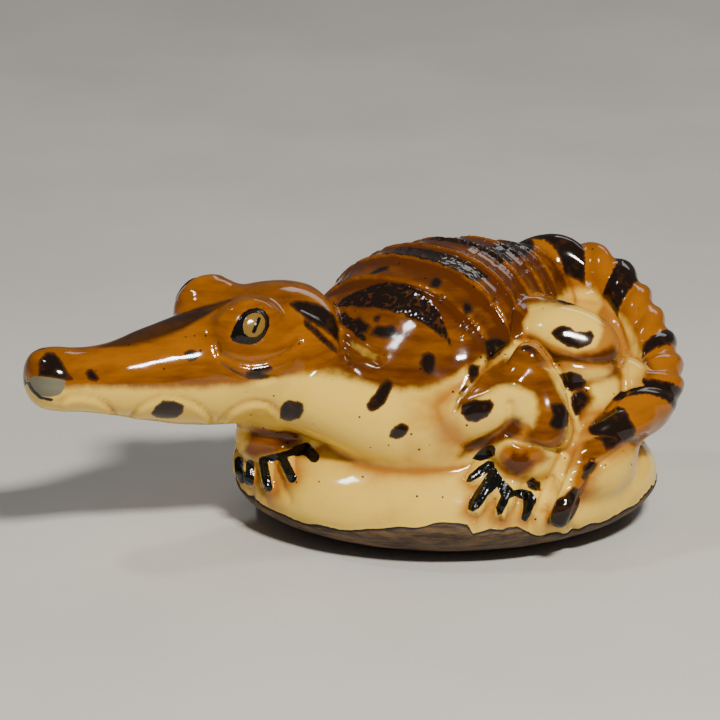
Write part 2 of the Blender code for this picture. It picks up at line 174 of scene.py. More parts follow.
PITCH = math.radians(18)
SIGHT = np.array((0.0, math.cos(PITCH), -math.sin(PITCH)))
SIGHT_RIGHT = np.array((1.0, 0.0, 0.0))
SIGHT_UP = np.array((0.0, math.sin(PITCH), math.cos(PITCH)))
AIM = np.array((0.57, -5.0, 16.0))
EYE_DISTANCE = 320.0
PIXELS_PER_MM = 11.4
PICTURE_SIDE = 720
SENSOR_WIDTH = 36
FACING_START = 0.05
HEAD_FACING_START = 0.02
FACING_GAIN = 4
FAR_OUTSIDE = -9.0
POINTS_AT_A_TIME = 4000

NOSE_BLACK = (
    (38, 376), (38, 366), (41, 357), (47, 352), (55, 353), (60, 359), (64, 367), (69, 374), (73, 380),
    (62, 379), (48, 377),
)
NOSE_GREY = (
    (27, 381), (33, 376), (46, 377), (60, 379), (66, 381), (64, 389), (60, 395), (50, 397), (40, 396),
    (31, 389),
)
NOSE_RIM = ((28, 383), (33, 391), (41, 398), (52, 400))
HEAD_SPOTS = (
    ((85, 372), (92, 369), (96, 374), (99, 378), (96, 382), (88, 379)),
    ((184, 354), (188, 350), (195, 350), (199, 354), (197, 359), (191, 361), (186, 359)),
    ((152, 411), (156, 404), (163, 400), (175, 400), (183, 404), (183, 413), (176, 418), (162, 418),
     (153, 415)),
    ((247, 371), (255, 368), (270, 365), (272, 368), (262, 373), (272, 376), (268, 379), (249, 380),
     (246, 376)),
    ((289, 303), (297, 300), (312, 302), (326, 307), (335, 316), (340, 330), (340, 345), (331, 336),
     (319, 327), (308, 321), (297, 312)),
    ((303, 319), (312, 325), (323, 334), (334, 345), (337, 353), (327, 346), (315, 335), (305, 326)),
)
EYE_RING = (
    (230, 337), (233, 328), (238, 319), (243, 312), (250, 308), (258, 307), (265, 310), (270, 317),
    (270, 326), (266, 335), (259, 342), (250, 345), (239, 344), (232, 341),
)
IRIS = (
    (243, 328), (244, 321), (248, 316), (255, 314), (261, 316), (264, 321), (264, 327), (261, 333),
    (255, 337), (249, 337), (244, 333),
)
PUPIL = ((258, 320), (253, 332))
# Fine lines of the carving: depth against the usual groove, with ridges below 0, and width in millimetres.
HEAD_CUTS = (
    (((216, 345), (219, 355), (233, 362), (250, 365), (265, 363), (280, 358), (292, 351), (300, 340)),
     1.6, 0.28),
    (((220, 364), (232, 373), (245, 379), (262, 382), (275, 379)), 1.3, 0.26),
    (((222, 360), (240, 369), (258, 372), (272, 369), (290, 361)), -0.7, 0.34),
    (((219, 321), (226, 312), (240, 305), (254, 301), (268, 305), (279, 315)), -0.9, 0.30),
    (((300, 313), (316, 321), (329, 333), (338, 346)), -1.0, 0.24),
    (((200, 309), (216, 303), (232, 298), (246, 293)), 0.7, 0.30),
)
NEAR_CUTS = (
    (((336, 299), (343, 318), (342, 345), (346, 366)), 1.5, 0.32),
    (((346, 330), (356, 341), (367, 350), (380, 357)), -1.5, 0.30),
    (((340, 322), (352, 336), (364, 346), (377, 351)), 0.9, 0.24),
    (((346, 341), (356, 351), (368, 358), (378, 363)), 0.9, 0.26),
    (((456, 409), (461, 397), (470, 385), (480, 373), (493, 361), (508, 349), (519, 341), (527, 339)),
     1.9, 0.30),
    (((527, 339), (537, 342), (548, 354), (560, 372), (570, 392), (577, 412), (581, 430), (574, 447),
      (564, 468), (554, 490), (544, 514)), 1.7, 0.30),
    (((510, 405), (512, 420), (502, 432), (486, 441), (468, 450)), 2.8, 0.42),
    (((508, 436), (520, 443), (535, 446), (549, 452), (563, 452)), 2.0, 0.26),
    (((563, 453), (553, 475), (542, 500), (531, 524)), 1.7, 0.26),
    (((436, 421), (452, 409), (468, 402), (486, 395), (500, 387), (513, 384)), -0.9, 0.45),
    (((519, 298), (516, 315), (516, 336)), 2.2, 0.30),
    (((519, 301), (545, 297), (575, 297), (601, 301)), -0.8, 0.30),
    (((605, 301), (618, 324), (625, 346), (622, 363)), 1.6, 0.28),
    (((541, 367), (563, 362), (588, 366), (606, 367), (621, 362)), 2.0, 0.30),
    (((626, 366), (626, 389), (607, 412), (582, 428)), 1.5, 0.28),
    (((458, 334), (477, 318), (498, 299), (508, 314), (514, 336)), 1.6, 0.24),
    (((462, 336), (479, 321), (497, 304), (504, 316), (509, 334)), -0.8, 0.24),
    (((404, 285), (425, 291), (440, 300), (453, 311), (464, 322)), -1.0, 0.22),
    (((576, 434), (566, 461), (556, 490), (544, 514)), 1.5, 0.28),
    (((646, 438), (624, 448), (601, 465), (585, 491), (572, 529)), 2.6, 0.36),
)
JAW_SCALLOPS = (
    ((60, 402), (70, 396), (82, 395), (95, 398), (106, 404), (116, 413)),
    ((131, 416), (138, 408), (148, 402), (160, 397), (173, 396), (187, 399), (198, 405), (207, 413),
     (212, 419)),
    ((222, 420), (230, 411), (242, 404), (255, 401), (268, 403), (277, 410), (283, 420)),
)
NEAR_SPOTS = (
    ((280, 418), (280, 410), (283, 403), (291, 400), (302, 403), (304, 411), (300, 418), (290, 421)),
    ((486, 251), (494, 243), (508, 239), (522, 236), (532, 239), (535, 248), (526, 256), (515, 259),
     (500, 258), (492, 256)),
    ((381, 384), (387, 379), (393, 382), (391, 391), (386, 402), (379, 409), (371, 412), (366, 408),
     (370, 399), (376, 393)),
)
# Half width of the stripe down the snout, by millimetres forward of the eyes' middle.
SNOUT_STRIPE = (
    (-1.2, -1.0), (-0.4, 0.5), (2.0, 1.4), (5.0, 1.95), (8.0, 1.7), (10.5, 1.0), (12.5, 0.2),
    (13.5, -1.0),
)
TRUNK_SPOTS = (
    ((420, 362), (422, 354), (428, 352), (434, 355), (436, 363), (434, 372), (430, 376), (424, 373),
     (421, 368)),
    ((388, 437), (393, 428), (401, 423), (410, 427), (404, 437), (396, 439)),
    ((362, 317), (368, 311), (376, 311), (381, 318), (378, 322), (367, 321)),
    ((370, 335), (376, 326), (394, 325), (400, 338), (384, 338)),
    ((461, 306), (465, 302), (471, 303), (474, 311), (466, 315)),
    ((429, 280), (437, 275), (443, 282), (438, 289), (430, 287)),
    ((484, 340), (492, 338), (500, 337), (508, 342), (505, 350), (495, 358), (488, 360), (485, 350)),
    ((468, 366), (474, 364), (480, 366), (478, 375), (471, 381), (468, 375)),
    ((458, 392), (466, 384), (470, 387), (464, 396)),
)
NAPE_SCUTES = (
    (338, 312), (345, 311), (352, 318), (360, 328), (367, 338), (366, 342), (358, 338), (349, 329),
    (341, 320),
)
GAP_STAIN = (
    (466, 371), (484, 357), (487, 364), (480, 374), (493, 362), (508, 349), (520, 341), (536, 338),
    (530, 322), (500, 322), (480, 335), (460, 352),
)
# Painted shade in the crease between the near upper arm and its forearm, laid as deep stain.
ARM_CREASE_SHADE = (
    (521, 419), (513, 421), (505, 429), (494, 435), (480, 442), (466, 449), (458, 457), (470, 455),
    (484, 450), (498, 443), (510, 438), (521, 434),
)
ARM_STAIN = (
    ((455, 411), (458, 400), (467, 388), (477, 375), (489, 362), (503, 350), (517, 344), (526, 344),
     (533, 348), (541, 358), (550, 372), (558, 387), (565, 402), (569, 417), (567, 433), (561, 449),
     (549, 451), (536, 446), (525, 441), (527, 434), (535, 424), (538, 412), (538, 402), (533, 394),
     (524, 389), (513, 385), (500, 386), (487, 393), (474, 400)),
)
ARM_SPOTS = (
    ((461, 413), (462, 404), (474, 400), (490, 400), (494, 406), (488, 416), (477, 422), (467, 421)),
    ((550, 404), (562, 403), (569, 414), (567, 427), (557, 431), (549, 425), (553, 415)),
    ((521, 347), (528, 345), (535, 350), (535, 355), (529, 351), (522, 350)),
)
ARM_SHADE = (
    ((505, 425), (514, 420), (530, 424), (534, 434), (524, 441), (508, 438), (470, 452), (462, 446),
     (485, 438)),
)
FOOT_STAIN = (
    ((497, 456), (503, 447), (515, 443), (530, 445), (546, 451), (549, 458), (541, 465), (529, 474),
     (517, 479), (507, 477), (500, 469)),
)
FOOT_SPOTS = (
    ((527, 482), (532, 478), (540, 482), (541, 490), (534, 490), (528, 487)),
)
FOOT_SHADE = (
    ((512, 450), (520, 454), (527, 451), (530, 459), (536, 462), (528, 470), (518, 475), (508, 470),
     (502, 463), (509, 458)),
)
LEFT_CLAWS = (
    ((472, 459), (476, 454), (484, 448), (492, 445), (496, 448), (495, 455), (488, 459), (480, 461)),
    ((466, 482), (469, 475), (478, 467), (487, 461), (494, 461), (495, 468), (488, 473), (478, 478),
     (471, 482)),
    ((468, 509), (469, 501), (477, 489), (485, 477), (490, 469), (496, 468), (500, 475), (505, 481),
     (513, 489), (508, 503), (502, 514), (497, 516), (496, 507), (501, 496), (497, 487), (488, 496),
     (479, 509), (473, 512)),
    ((506, 494), (513, 490), (522, 489), (531, 491), (537, 499), (536, 507), (531, 515), (526, 522),
     (521, 519), (523, 509), (523, 499), (515, 496), (508, 500)),
)
RIGHT_CLAWS = (
    (((239, 461), (239, 470), (243, 479)), 4.6),
    (((250, 464), (250, 482)), 4.2),
    (((263, 462), (268, 487)), 4.6),
    (((282, 458), (292, 478)), 4.8),
    (((297, 451), (306, 448), (314, 457)), 5.5),
    (((262, 460), (280, 456), (304, 449)), 3.4),
)
RIGHT_HAND_STAIN = (
    ((244, 452), (250, 430), (262, 423), (285, 424), (300, 432), (299, 444), (284, 452), (266, 456),
     (252, 458)),
)
THIGH_STAIN = (
    ((513, 300), (530, 296), (560, 294), (590, 295), (606, 300), (603, 304), (590, 302), (575, 304),
     (545, 304), (525, 305), (523, 315), (522, 334), (512, 334)),
)
# Painted shade along the underside of the near thigh, laid as deep stain.
THIGH_UNDER_SHADE = (
    (526, 342), (545, 349), (575, 356), (600, 352), (612, 345), (620, 352), (616, 364), (590, 362),
    (545, 362), (530, 352),
)
THIGH_SHADE = (
    ((518, 333), (535, 335), (550, 344), (575, 352), (596, 347), (602, 330), (597, 312), (604, 303),
     (616, 318), (626, 340), (624, 360), (616, 370), (540, 368), (525, 350)),
)
THIGH_SPOTS = (
    ((551, 334), (555, 328), (563, 325), (570, 327), (574, 331), (583, 332), (591, 331), (594, 336),
     (589, 345), (578, 349), (566, 345), (556, 339)),
    ((558, 301), (570, 298), (588, 299), (590, 302), (575, 305), (561, 304)),
)
SHIN_STAIN = (
    ((545, 368), (560, 361), (585, 362), (605, 366), (622, 358), (627, 372), (620, 378), (600, 376),
     (585, 381), (570, 383), (553, 380)),
    ((575, 380), (588, 384), (594, 398), (585, 412), (577, 420), (570, 402)),
)
SHIN_SPOTS = (
    ((560, 375), (570, 372), (580, 374), (586, 382), (583, 389), (572, 391), (564, 385)),
    ((572, 394), (582, 390), (590, 397), (587, 404), (580, 413), (576, 414), (571, 404)),
)
# The tail's dark bands: shares of its length at the crest, and the angles where they end on its two sides.
TAIL_BANDS = (
    (0.118, 0.190, 26, 185), (0.264, 0.328, 38, 170), (0.447, 0.484, 66, 190), (0.586, 0.630, 12, 215),
)
TAIL_HIDDEN_BANDS = ((0.66, 0.735, 60, 220), (0.80, 0.838, 60, 200), (0.885, 1.05, 20, 200))
TAIL_SPOTS = (
    ((580, 438), (586, 428), (594, 420), (605, 412), (618, 406), (625, 409), (629, 418), (636, 430),
     (633, 439), (622, 443), (613, 448), (606, 450), (602, 441), (594, 437)),
    ((590, 458), (600, 458), (597, 467), (592, 476), (587, 482), (582, 478), (584, 467)),
    ((573, 487), (582, 490), (580, 503), (576, 515), (572, 530), (560, 534), (547, 523), (549, 510),
     (556, 500), (565, 496)),
)
TAIL_CREAM = (
    ((584, 437), (582, 450), (579, 465), (574, 478), (571, 490), (562, 496), (552, 504), (544, 525),
     (536, 515), (548, 485), (556, 455), (568, 430)),
)
# Where the stain ends on the tail's inner side: share of its length and angle from level, inwards.
TAIL_STAIN_INNER = (
    (0.0, 20), (0.08, 22), (0.26, 32), (0.32, 30), (0.38, 48), (0.47, 57), (0.56, 76), (0.62, 64),
    (0.70, 55), (0.76, 45), (0.83, 40), (0.90, 40), (1.0, 40),
)
# Height of the stain's lower edge, by x.
STAIN_EDGE = (
    (-30, 17.4), (-24, 17.0), (-20, 16.3), (-16.6, 15.95), (-13.2, 15.65), (-9.8, 15.75), (-7.9, 16.1),
    (-4.6, 16.2), (-1.2, 16.15), (0.3, 15.8), (2.7, 15.4), (5.7, 15.55), (7.5, 16.1), (8.8, 16.5),
    (9.8, 17.3), (11.5, 18.2), (14.0, 18.6), (30, 18.6),
)
# Height of the skin's upper edge, by x.
SKIN_EDGE = (
    (-11, 3.7), (-8.5, 3.5), (-5, 3.2), (-1, 3.2), (2.5, 3.9), (5.8, 4.35), (9.0, 4.75), (9.9, 4.6),
    (10.3, 4.0), (11.8, 4.25), (12.9, 3.8), (14.3, 3.75), (16.4, 2.9), (18, 2.8), (21.6, 2.8), (24, 3.05),
    (26, 3.8),
)
CLAW_GROOVES = (
    ((478, 502), (474, 520)),
    ((490, 497), (486, 521)),
    ((501, 510), (498, 525)),
    ((511, 499), (508, 526)),
    ((519, 500), (517, 529)),
    ((536, 506), (530, 530)),
    ((262, 488), (266, 500)),
    ((282, 485), (290, 500)),
    ((250, 487), (253, 498)),
)
PALE_FOLDS = (
    ((348, 338), (360, 345), (370, 350), (379, 356), (375, 361), (362, 356), (351, 346)),
)
PALE_RIMS = (
    ((519, 342), (528, 340), (538, 346), (548, 358), (559, 375), (568, 391), (575, 409), (578, 426)),
    ((566, 456), (556, 474), (546, 494), (537, 513)),
)

# Edges of the paint, in millimetres, with heights from the underside and angles from level, inwards.
FAR_ARM_STAIN_END = 11.5
FAR_LEG_STAIN_END = 13.8
HIDDEN_ARM_STAIN_END = 14.6
HIDDEN_LEG_STAIN_END = 15.6
STRIPE_END = 17.6
TAIL_STAIN_OUTER = 232
STAIN_MM_PER_DEGREE = 0.055
BAND_MM_PER_DEGREE = 0.05
NOSE_START = 14
# The bands across the back: start and end along the trunk, then the crescent's bend or a band's half width.
BANDS_LEFT = 0.6
CRESCENT_BAND = (-7.35, -5.0, 21)
SQUARE_BANDS = ((-1.65, 0.7, 5.1), (3.7, 6.0, 4.0))
# In the picture's pixels: half widths, and the row at which the jaw's outlines are closed below.
PUPIL_HALF_WIDTH = 1.7
NOSE_RIM_HALF_WIDTH = 1.6
BELOW_JAW = 440

CHIN_HEIGHT = 14
EYE_RISE = 0.30
EYE_GROOVE = 0.12
PLATE_ROWS = 4
PLATE_WIDTH = 2.45
SKIN_THICKNESS = 0.17
CLAW_START = 0.15
CLAW_RADIUS = 0.78
FRECKLE_SPACING = 1.05
DETAIL_SOFTENING = 3

FLOOR_MOTTLING = 0.93
ROOM_COLOUR = (0.80, 0.82, 0.86, 1)
ROOM_STRENGTH = 0.12
# The lamps: place and size in metres, the setting that holds the power, and the colour.
LAMP_AIM = (0.0, 0.0, 0.010)
LAMPS = (
    ("key_lamp", (0.084, -0.231, 0.273), (0.065, 0.035), "key_power", (1.0, 0.95, 0.86)),
    ("side_lamp", (-0.179, -0.016, 0.322), (0.04, 0.03), "side_power", (0.98, 0.98, 1.0)),
    ("back_lamp", (0.12, 0.24, 0.20), (0.20, 0.06), "back_power", (1.0, 0.98, 0.96)),
)


# Working with meshes.

def free_hands():
    """Leave edit mode and deselect everything."""
    if bpy.context.object and bpy.context.object.mode != "OBJECT":
        bpy.ops.object.mode_set(mode="OBJECT")
    bpy.ops.object.select_all(action="DESELECT")


def take(piece):
    free_hands()
    piece.select_set(True)
    bpy.context.view_layer.objects.active = piece


def points_of(mesh):
    co = np.empty(len(mesh.vertices) * 3)
    mesh.vertices.foreach_get("co", co)
    return co.reshape(-1, 3)


def normals_of(mesh):
    out = np.empty(len(mesh.vertices) * 3)
    mesh.vertex_normals.foreach_get("vector", out)
    return out.reshape(-1, 3)


def put_points(mesh, points):
    mesh.vertices.foreach_set("co", points.ravel())
    mesh.update()


def apply_modifier(piece, kind, **settings):
    """Add one modifier with its settings and apply it."""
    take(piece)
    bpy.ops.object.modifier_add(type=kind)
    modifier = piece.modifiers[-1]
    for key, value in settings.items():
        setattr(modifier, key, value)
    bpy.ops.object.modifier_apply(modifier=modifier.name)


def join(pieces, name):
    take(pieces[0])
    for piece in pieces:
        piece.select_set(True)
    if len(pieces) > 1:
        bpy.ops.object.join()
    pieces[0].name = name
    return pieces[0]


def fuse(piece, step, softening):
    """Fuse all forms of a piece into one closed skin, and soften it."""
    apply_modifier(piece, "REMESH", mode="VOXEL", voxel_size=step)
    if softening:
        apply_modifier(piece, "SMOOTH", factor=0.5, iterations=softening)


# The forms.

def spline_rows(stations, per_span):
    """The stations and, between each two, rows on a smooth curve through them."""
    s = np.array([stations[0], *stations, stations[-1]], float)
    rows = []
    for p, q, r, w in zip(s, s[1:], s[2:], s[3:]):
        for t in np.arange(per_span) / per_span:
            curve = 2 * q + (r - p) * t + (2 * p - 5 * q + 4 * r - w) * t**2
            rows.append(0.5 * (curve + (3 * q - p - 3 * r + w) * t**3))
    return np.array([*rows, s[-1]])


def unit(v):
    return v / np.maximum(np.linalg.norm(v, axis=-1, keepdims=True), 1e-9)


def row_frames(rows):
    """Each row's way along, to its side and up."""
    centres = rows[:, :3]
    along = unit(np.vstack([centres[1:], centres[-1:]]) - np.vstack([centres[:1], centres[:-1]]))
    side = np.cross(along, (0.0, 0.0, 1.0))
    steep = np.linalg.norm(side, axis=1) < 0.2
    side[steep] = np.cross(along[steep], (1.0, 0.0, 0.0))
    side = unit(side)
    return along, side, np.cross(side, along)


def draw_out(rows, sides=32, shape=None, frames=None):
    """A sphere drawn out into a tube: its rings go to the rows, and its poles close the ends."""
    free_hands()
    count = len(rows)
    bpy.ops.mesh.primitive_uv_sphere_add(segments=sides, ring_count=count + 1, radius=1)
    made = bpy.context.object
    start = points_of(made.data)
    ring = np.rint(np.arccos(np.clip(start[:, 2], -1, 1)) / math.pi * (count + 1)).astype(int) - 1
    pole = (ring < 0) | (ring >= count)
    ring = np.clip(ring, 0, count - 1)
    turn = np.arctan2(start[:, 1], start[:, 0])
    along, side, up = frames or row_frames(rows)
    wide = np.maximum(rows[ring, 3], 0.1)
    tall = np.maximum(rows[ring, 4], 0.1)
    out = side[ring] * (np.cos(turn) * wide)[:, None] + up[ring] * (np.sin(turn) * tall)[:, None]
    if shape:
        out = shape(ring, out, wide, tall)
    out[pole] = 0
    put_points(made.data, rows[ring, :3] + out)
    return made


def on_head(along, left, height):
    return EYES_MIDDLE + HEAD_FORWARD * along + HEAD_LEFT * left + np.array((0, 0, height))


def head_tube():
    rows = np.array([(*on_head(a, 0, z), w, h) for a, z, w, h in HEAD])
    return draw_out(spline_rows(rows, RINGS_PER_SPAN))


def trunk_tube(settings):
    """The trunk, squarer than an ellipse, its back crossed by the edges of overlapping plates."""
    table = spline_rows(TRUNK, 3 * RINGS_PER_SPAN)
    middles = TRUNK_MIDDLE + table[:, :1] * TRUNK_BACK + table[:, 1:2] * TRUNK_LEFT
    middles = middles + table[:, 2:3] * UPWARDS
    rows = np.hstack([middles, table[:, 3:]])
    past = (table[:, 0] - settings.plate_first) / settings.plate_spacing
    share = past % 1
    ridge = np.where(past < -0.3, 0, np.maximum(0, np.maximum(1 - share * 2.2, share * 5 - 4)))

    def shape(ring, out, wide, tall):
        across = np.abs(out @ TRUNK_LEFT) / wide
        up = np.abs(out[:, 2]) / tall
        n = TRUNK_SQUARENESS
        out = out * ((across**n + up**n + 1e-12) ** (-1 / n))[:, None]
        back = np.clip((out[:, 2] / tall - 0.45) * 5, 0, 1)
        return out + unit(out) * (settings.plate_rise * ridge[ring] * back)[:, None]

    frames = [np.repeat(way[None], len(rows), axis=0) for way in (TRUNK_BACK, TRUNK_LEFT, UPWARDS)]
    return draw_out(rows, 96, shape, frames)


def through_scute(share, angle):
    """How far a place on the tail lies through its scute, from 0 at one notch to 1 at the next."""
    share = share - SCUTE_SLANT * (angle - SCUTE_CREST_ANGLE)
    through = np.zeros(len(share))
    for low, high in zip(SCUTE_NOTCHES, SCUTE_NOTCHES[1:]):
        through = np.where((share >= low) & (share < high), (share - low) / (high - low), through)
    return through


def tail_tube(settings):
    """The tail, whose outer top side swells into a row of scutes with a notch between each two."""
    rows = spline_rows(TAIL, 3 * RINGS_PER_SPAN)
    along, side, up = row_frames(rows)
    outward = np.where((np.sum(-side * (rows[:, :3] - (13.0, 1.0, 0)), axis=1) < 0)[:, None], side, -side)
    outward[:, 2] = 0
    lean = unit(outward * 0.5 + np.array((0, 0, 0.87)))
    rise = settings.scute_rise * rows[:, 4] / TAIL[2][4]

    def shape(ring, out, wide, tall):
        facing = np.clip(np.sum(unit(out) * lean[ring], axis=1) * 1.6 - 0.2, 0, 1)
        turn = np.arctan2((out * up[ring]).sum(axis=1) / tall, (out * side[ring]).sum(axis=1) / wide)
        share = through_scute(ring / (len(rows) - 1), (np.degrees(turn) + 90) % 360 - 90)
        swell = np.sin(math.pi * share) ** 0.6
        return out + unit(out) * (rise[ring] * swell * facing)[:, None]

    return draw_out(rows, 48, shape)


def ball(centre, radii, rotation):
    free_hands()
    bpy.ops.mesh.primitive_ico_sphere_add(
        subdivisions=5, radius=1, location=tuple(centre), rotation=rotation, scale=radii
    )
    bpy.ops.object.transform_apply(location=True, rotation=True, scale=True)
    return bpy.context.object


def on_flank(x, z, side):
    """The point of the nut's flank at x and z, and the way that its surface faces there."""
    across = (x - BASE_X) / BASE_HALF_LENGTH
    up = (z - RIM_HEIGHT) / CROWN_HEIGHT
    out = math.sqrt(max(0.004, 1 - across**2 - up**2))
    facing = Vector((across / BASE_HALF_LENGTH, side * out / BASE_HALF_DEPTH, up / CROWN_HEIGHT))
    return Vector((x, side * BASE_HALF_DEPTH * out, z)), facing.normalized()


def nut_round():
    """The round of nut: a domed crown over the rim, and a shallower round of skin below it."""
    free_hands()
    bpy.ops.mesh.primitive_uv_sphere_add(segments=96, ring_count=60, radius=1)
    made = bpy.context.object
    p = points_of(made.data)
    x = BASE_X + p[:, 0] * BASE_HALF_LENGTH
    z = RIM_HEIGHT + p[:, 2] * np.where(p[:, 2] > 0, CROWN_HEIGHT, SKIN_DEPTH)
    put_points(made.data, np.column_stack([x, p[:, 1] * BASE_HALF_DEPTH, z]))
    return made


def pads_and_toes():
    made = []
    for (x, z), (long, tall, thick), side in PADS:
        point, facing = on_flank(x, z, side)
        made.append(ball(point, (long, tall, thick), facing.to_track_quat("Z", "Y").to_euler()))
    for knuckle, tip, side in TOES:
        stations = []
        for share, radius in ((0.0, 1.0), (0.5, 0.95), (1.0, 0.6)):
            x = knuckle[0] + (tip[0] - knuckle[0]) * share
            z = knuckle[1] + (tip[1] - knuckle[1]) * share
            point, facing = on_flank(x, z, side)
            point += facing * TOE_OUT
            stations.append((*point, TOE_RADIUS * radius, TOE_RADIUS * radius))
        made.append(draw_out(spline_rows(stations, RINGS_PER_SPAN), 24))
    return made


def tree_of(pieces):
    """One search tree over several pieces, to measure how near a point is to them."""
    verts, faces = [], []
    for piece in pieces:
        first = len(verts)
        verts += [tuple(v.co) for v in piece.data.vertices]
        faces += [tuple(first + i for i in p.vertices) for p in piece.data.polygons]
    return BVHTree.FromPolygons(verts, faces)


def distance_to(tree, points):
    return np.array([tree.find_nearest(p)[3] for p in points.tolist()])


# Measuring marks.

def in_picture(points):
    """Where points lie in the camera's picture."""
    middle = PICTURE_SIDE / 2
    away = points - (AIM - SIGHT * EYE_DISTANCE)
    scale = PIXELS_PER_MM * EYE_DISTANCE / (away @ SIGHT)
    return np.column_stack([middle + (away @ SIGHT_RIGHT) * scale, middle - (away @ SIGHT_UP) * scale])


def from_line(spots, line):
    """Distance in pixels to a broken line."""
    best = np.full(len(spots), 1e9)
    for a, b in zip(np.array(line, float), np.array(line[1:], float)):
        way = b - a
        t = np.clip(((spots - a) @ way) / (way @ way), 0, 1)
        best = np.minimum(best, np.linalg.norm(spots - a - t[:, None] * way, axis=1))
    return best


def inside(spots, outline):
    """Distance in pixels to an outline, positive inside it."""
    loop = np.array([*outline, outline[0]], float)
    crossings = np.zeros(len(spots), bool)
    for (ax, ay), (bx, by) in zip(loop, loop[1:]):
        if ay != by:
            straddles = (spots[:, 1] > min(ay, by)) & (spots[:, 1] <= max(ay, by))
            crossings ^= straddles & (spots[:, 0] < ax + (spots[:, 1] - ay) * (bx - ax) / (by - ay))
    return np.where(crossings, 1, -1) * from_line(spots, [tuple(p) for p in loop])


def marks(spots, outlines):
    """How far inside the nearest of several outlines, in millimetres."""
    if not outlines:
        return np.full(len(spots), FAR_OUTSIDE)
    return np.maximum.reduce([inside(spots, o) for o in outlines]) / PIXELS_PER_MM


def strokes(spots, lines):
    return np.maximum.reduce([half - from_line(spots, line) for line, half in lines]) / PIXELS_PER_MM


def along_table(x, table):
    xs, ys = np.array(table, float).T
    return np.interp(x, xs, ys)


def ramp(x, low, high):
    t = np.clip((x - low) / (high - low), 0, 1)
    return t * t * (3 - 2 * t)


def bump(distance, width):
    return np.exp(-((distance / width) ** 2))


def wavering(points, size, seed):
    """A smooth, seeded waver between about -1 and 1."""
    rng = np.random.default_rng(seed)
    total = np.zeros(len(points))
    for _ in range(7):
        way = unit(rng.normal(size=3)) * rng.uniform(0.6, 1.5) * 2 * math.pi / size
        total += np.sin(points @ way + rng.uniform(0, 6.28))
    return total / 3.2


def folded(points, normals, left, way):
    """Where points lie in the picture and how they face, with the far side folded onto the near side."""
    near_side = points - np.minimum(left, 0)[:, None] * 2 * way
    turned = normals - (np.where(left < 0, 1, 0) * (normals @ way))[:, None] * 2 * way
    return in_picture(near_side), -(turned @ SIGHT)


class Reading:
    """What the carver goes by at each point: which part it is on, and how far along and round that part."""

    def __init__(self, mesh, trees):
        self.points = p = points_of(mesh)
        self.normals = n = normals_of(mesh)
        names = list(trees)
        near = np.column_stack([distance_to(trees[k], p) for k in names])
        self.on = {}
        for i, name in enumerate(names):
            others = np.delete(near, i, axis=1).min(axis=1)
            self.on[name] = others - near[:, i]
        self.body_on = np.maximum(self.on["head"], self.on["trunk"])
        self.near_leg_on = np.maximum(self.on["left_thigh"], self.on["left_shin"])
        self.above_edge = p[:, 2] - along_table(p[:, 0], STAIN_EDGE)
        self.picture = in_picture(p)
        self.facing = -(n @ SIGHT)
        self.shown = (self.facing - FACING_START) * FACING_GAIN
        q = p - EYES_MIDDLE
        self.head_along, self.head_left = q @ HEAD_FORWARD, q @ HEAD_LEFT
        self.head_picture, self.head_facing = folded(p, n, self.head_left, HEAD_LEFT)
        self.head_shown = (self.head_facing - HEAD_FACING_START) * FACING_GAIN
        q = p - TRUNK_MIDDLE
        self.trunk_along, self.trunk_left = q @ TRUNK_BACK, q @ TRUNK_LEFT - SPINE_LEFT
        self.trunk_picture, trunk_facing = folded(p, n, self.trunk_left, TRUNK_LEFT)
        self.trunk_shown = (trunk_facing - FACING_START) * FACING_GAIN
        self.find_on_tail(p)

    def find_on_tail(self, p):
        """Each point's share of the tail's length, and its angle round the tail from level, inwards."""
        rows = spline_rows(TAIL, TAIL_READING_ROWS)
        _, side, up = row_frames(rows)
        nearest = np.zeros(len(p), int)
        for first in range(0, len(p), POINTS_AT_A_TIME):
            part = p[first : first + POINTS_AT_A_TIME]
            apart = ((part[:, None] - rows[None, :, :3]) ** 2).sum(axis=2)
            nearest[first : first + POINTS_AT_A_TIME] = apart.argmin(axis=1)
        rel = p - rows[nearest, :3]
        self.tail_share = nearest / (len(rows) - 1)
        rise = (rel * up[nearest]).sum(1) / rows[nearest, 4]
        aside = (rel * side[nearest]).sum(1) / rows[nearest, 3]
        angle = np.degrees(np.arctan2(rise, aside))
        self.tail_angle = np.where(angle < -90, angle + 360, angle)


def claw_depth(points):
    """How far inside the nearest toe's claw, in millimetres."""
    best = np.full(len(points), FAR_OUTSIDE)
    for knuckle, tip, side in TOES:
        a, fa = on_flank(*knuckle, side)
        b, fb = on_flank(*tip, side)
        a, b = np.array(a + fa * TOE_OUT), np.array(b + fb * TOE_OUT)
        a = a + (b - a) * CLAW_START
        way = b - a
        t = np.clip((points - a) @ way / (way @ way), 0, 1)
        best = np.maximum(best, CLAW_RADIUS - np.linalg.norm(points - a - t[:, None] * way, axis=1))
    return best


# Settings.

class CrocodileSizes(bpy.types.PropertyGroup):
    fuse_step: FloatProperty(
        name="Fuse step", description="Width of the grains that the forms are fused from, in millimetres",
        default=0.29, min=0.2, max=1,
    )
    body_softening: IntProperty(
        name="Body softening", description="How far the big forms melt into each other",
        default=31, min=0, max=80,
    )
    plate_first: FloatProperty(
        name="First plate edge", description="Place of the first plate edge along the trunk, in millimetres",
        default=-4.8,
    )
    plate_spacing: FloatProperty(
        name="Plate spacing", description="From one plate edge to the next, in millimetres",
        default=3.05, min=1,
    )
    plate_rise: FloatProperty(
        name="Plate rise", description="How far a plate's edge stands up, in millimetres",
        default=0.4, min=0,
    )
    scute_rise: FloatProperty(
        name="Scute rise", description="How far the tail's scutes swell, in millimetres",
        default=1.0, min=0,
    )
    groove_depth: FloatProperty(
        name="Groove depth", description="Depth of the fine cut lines, in millimetres",
        default=0.16, min=0,
    )


def colour(name, description, value):
    return FloatVectorProperty(
        name=name, description=description, subtype="COLOR", size=4, min=0, max=1, default=(*value, 1)
    )


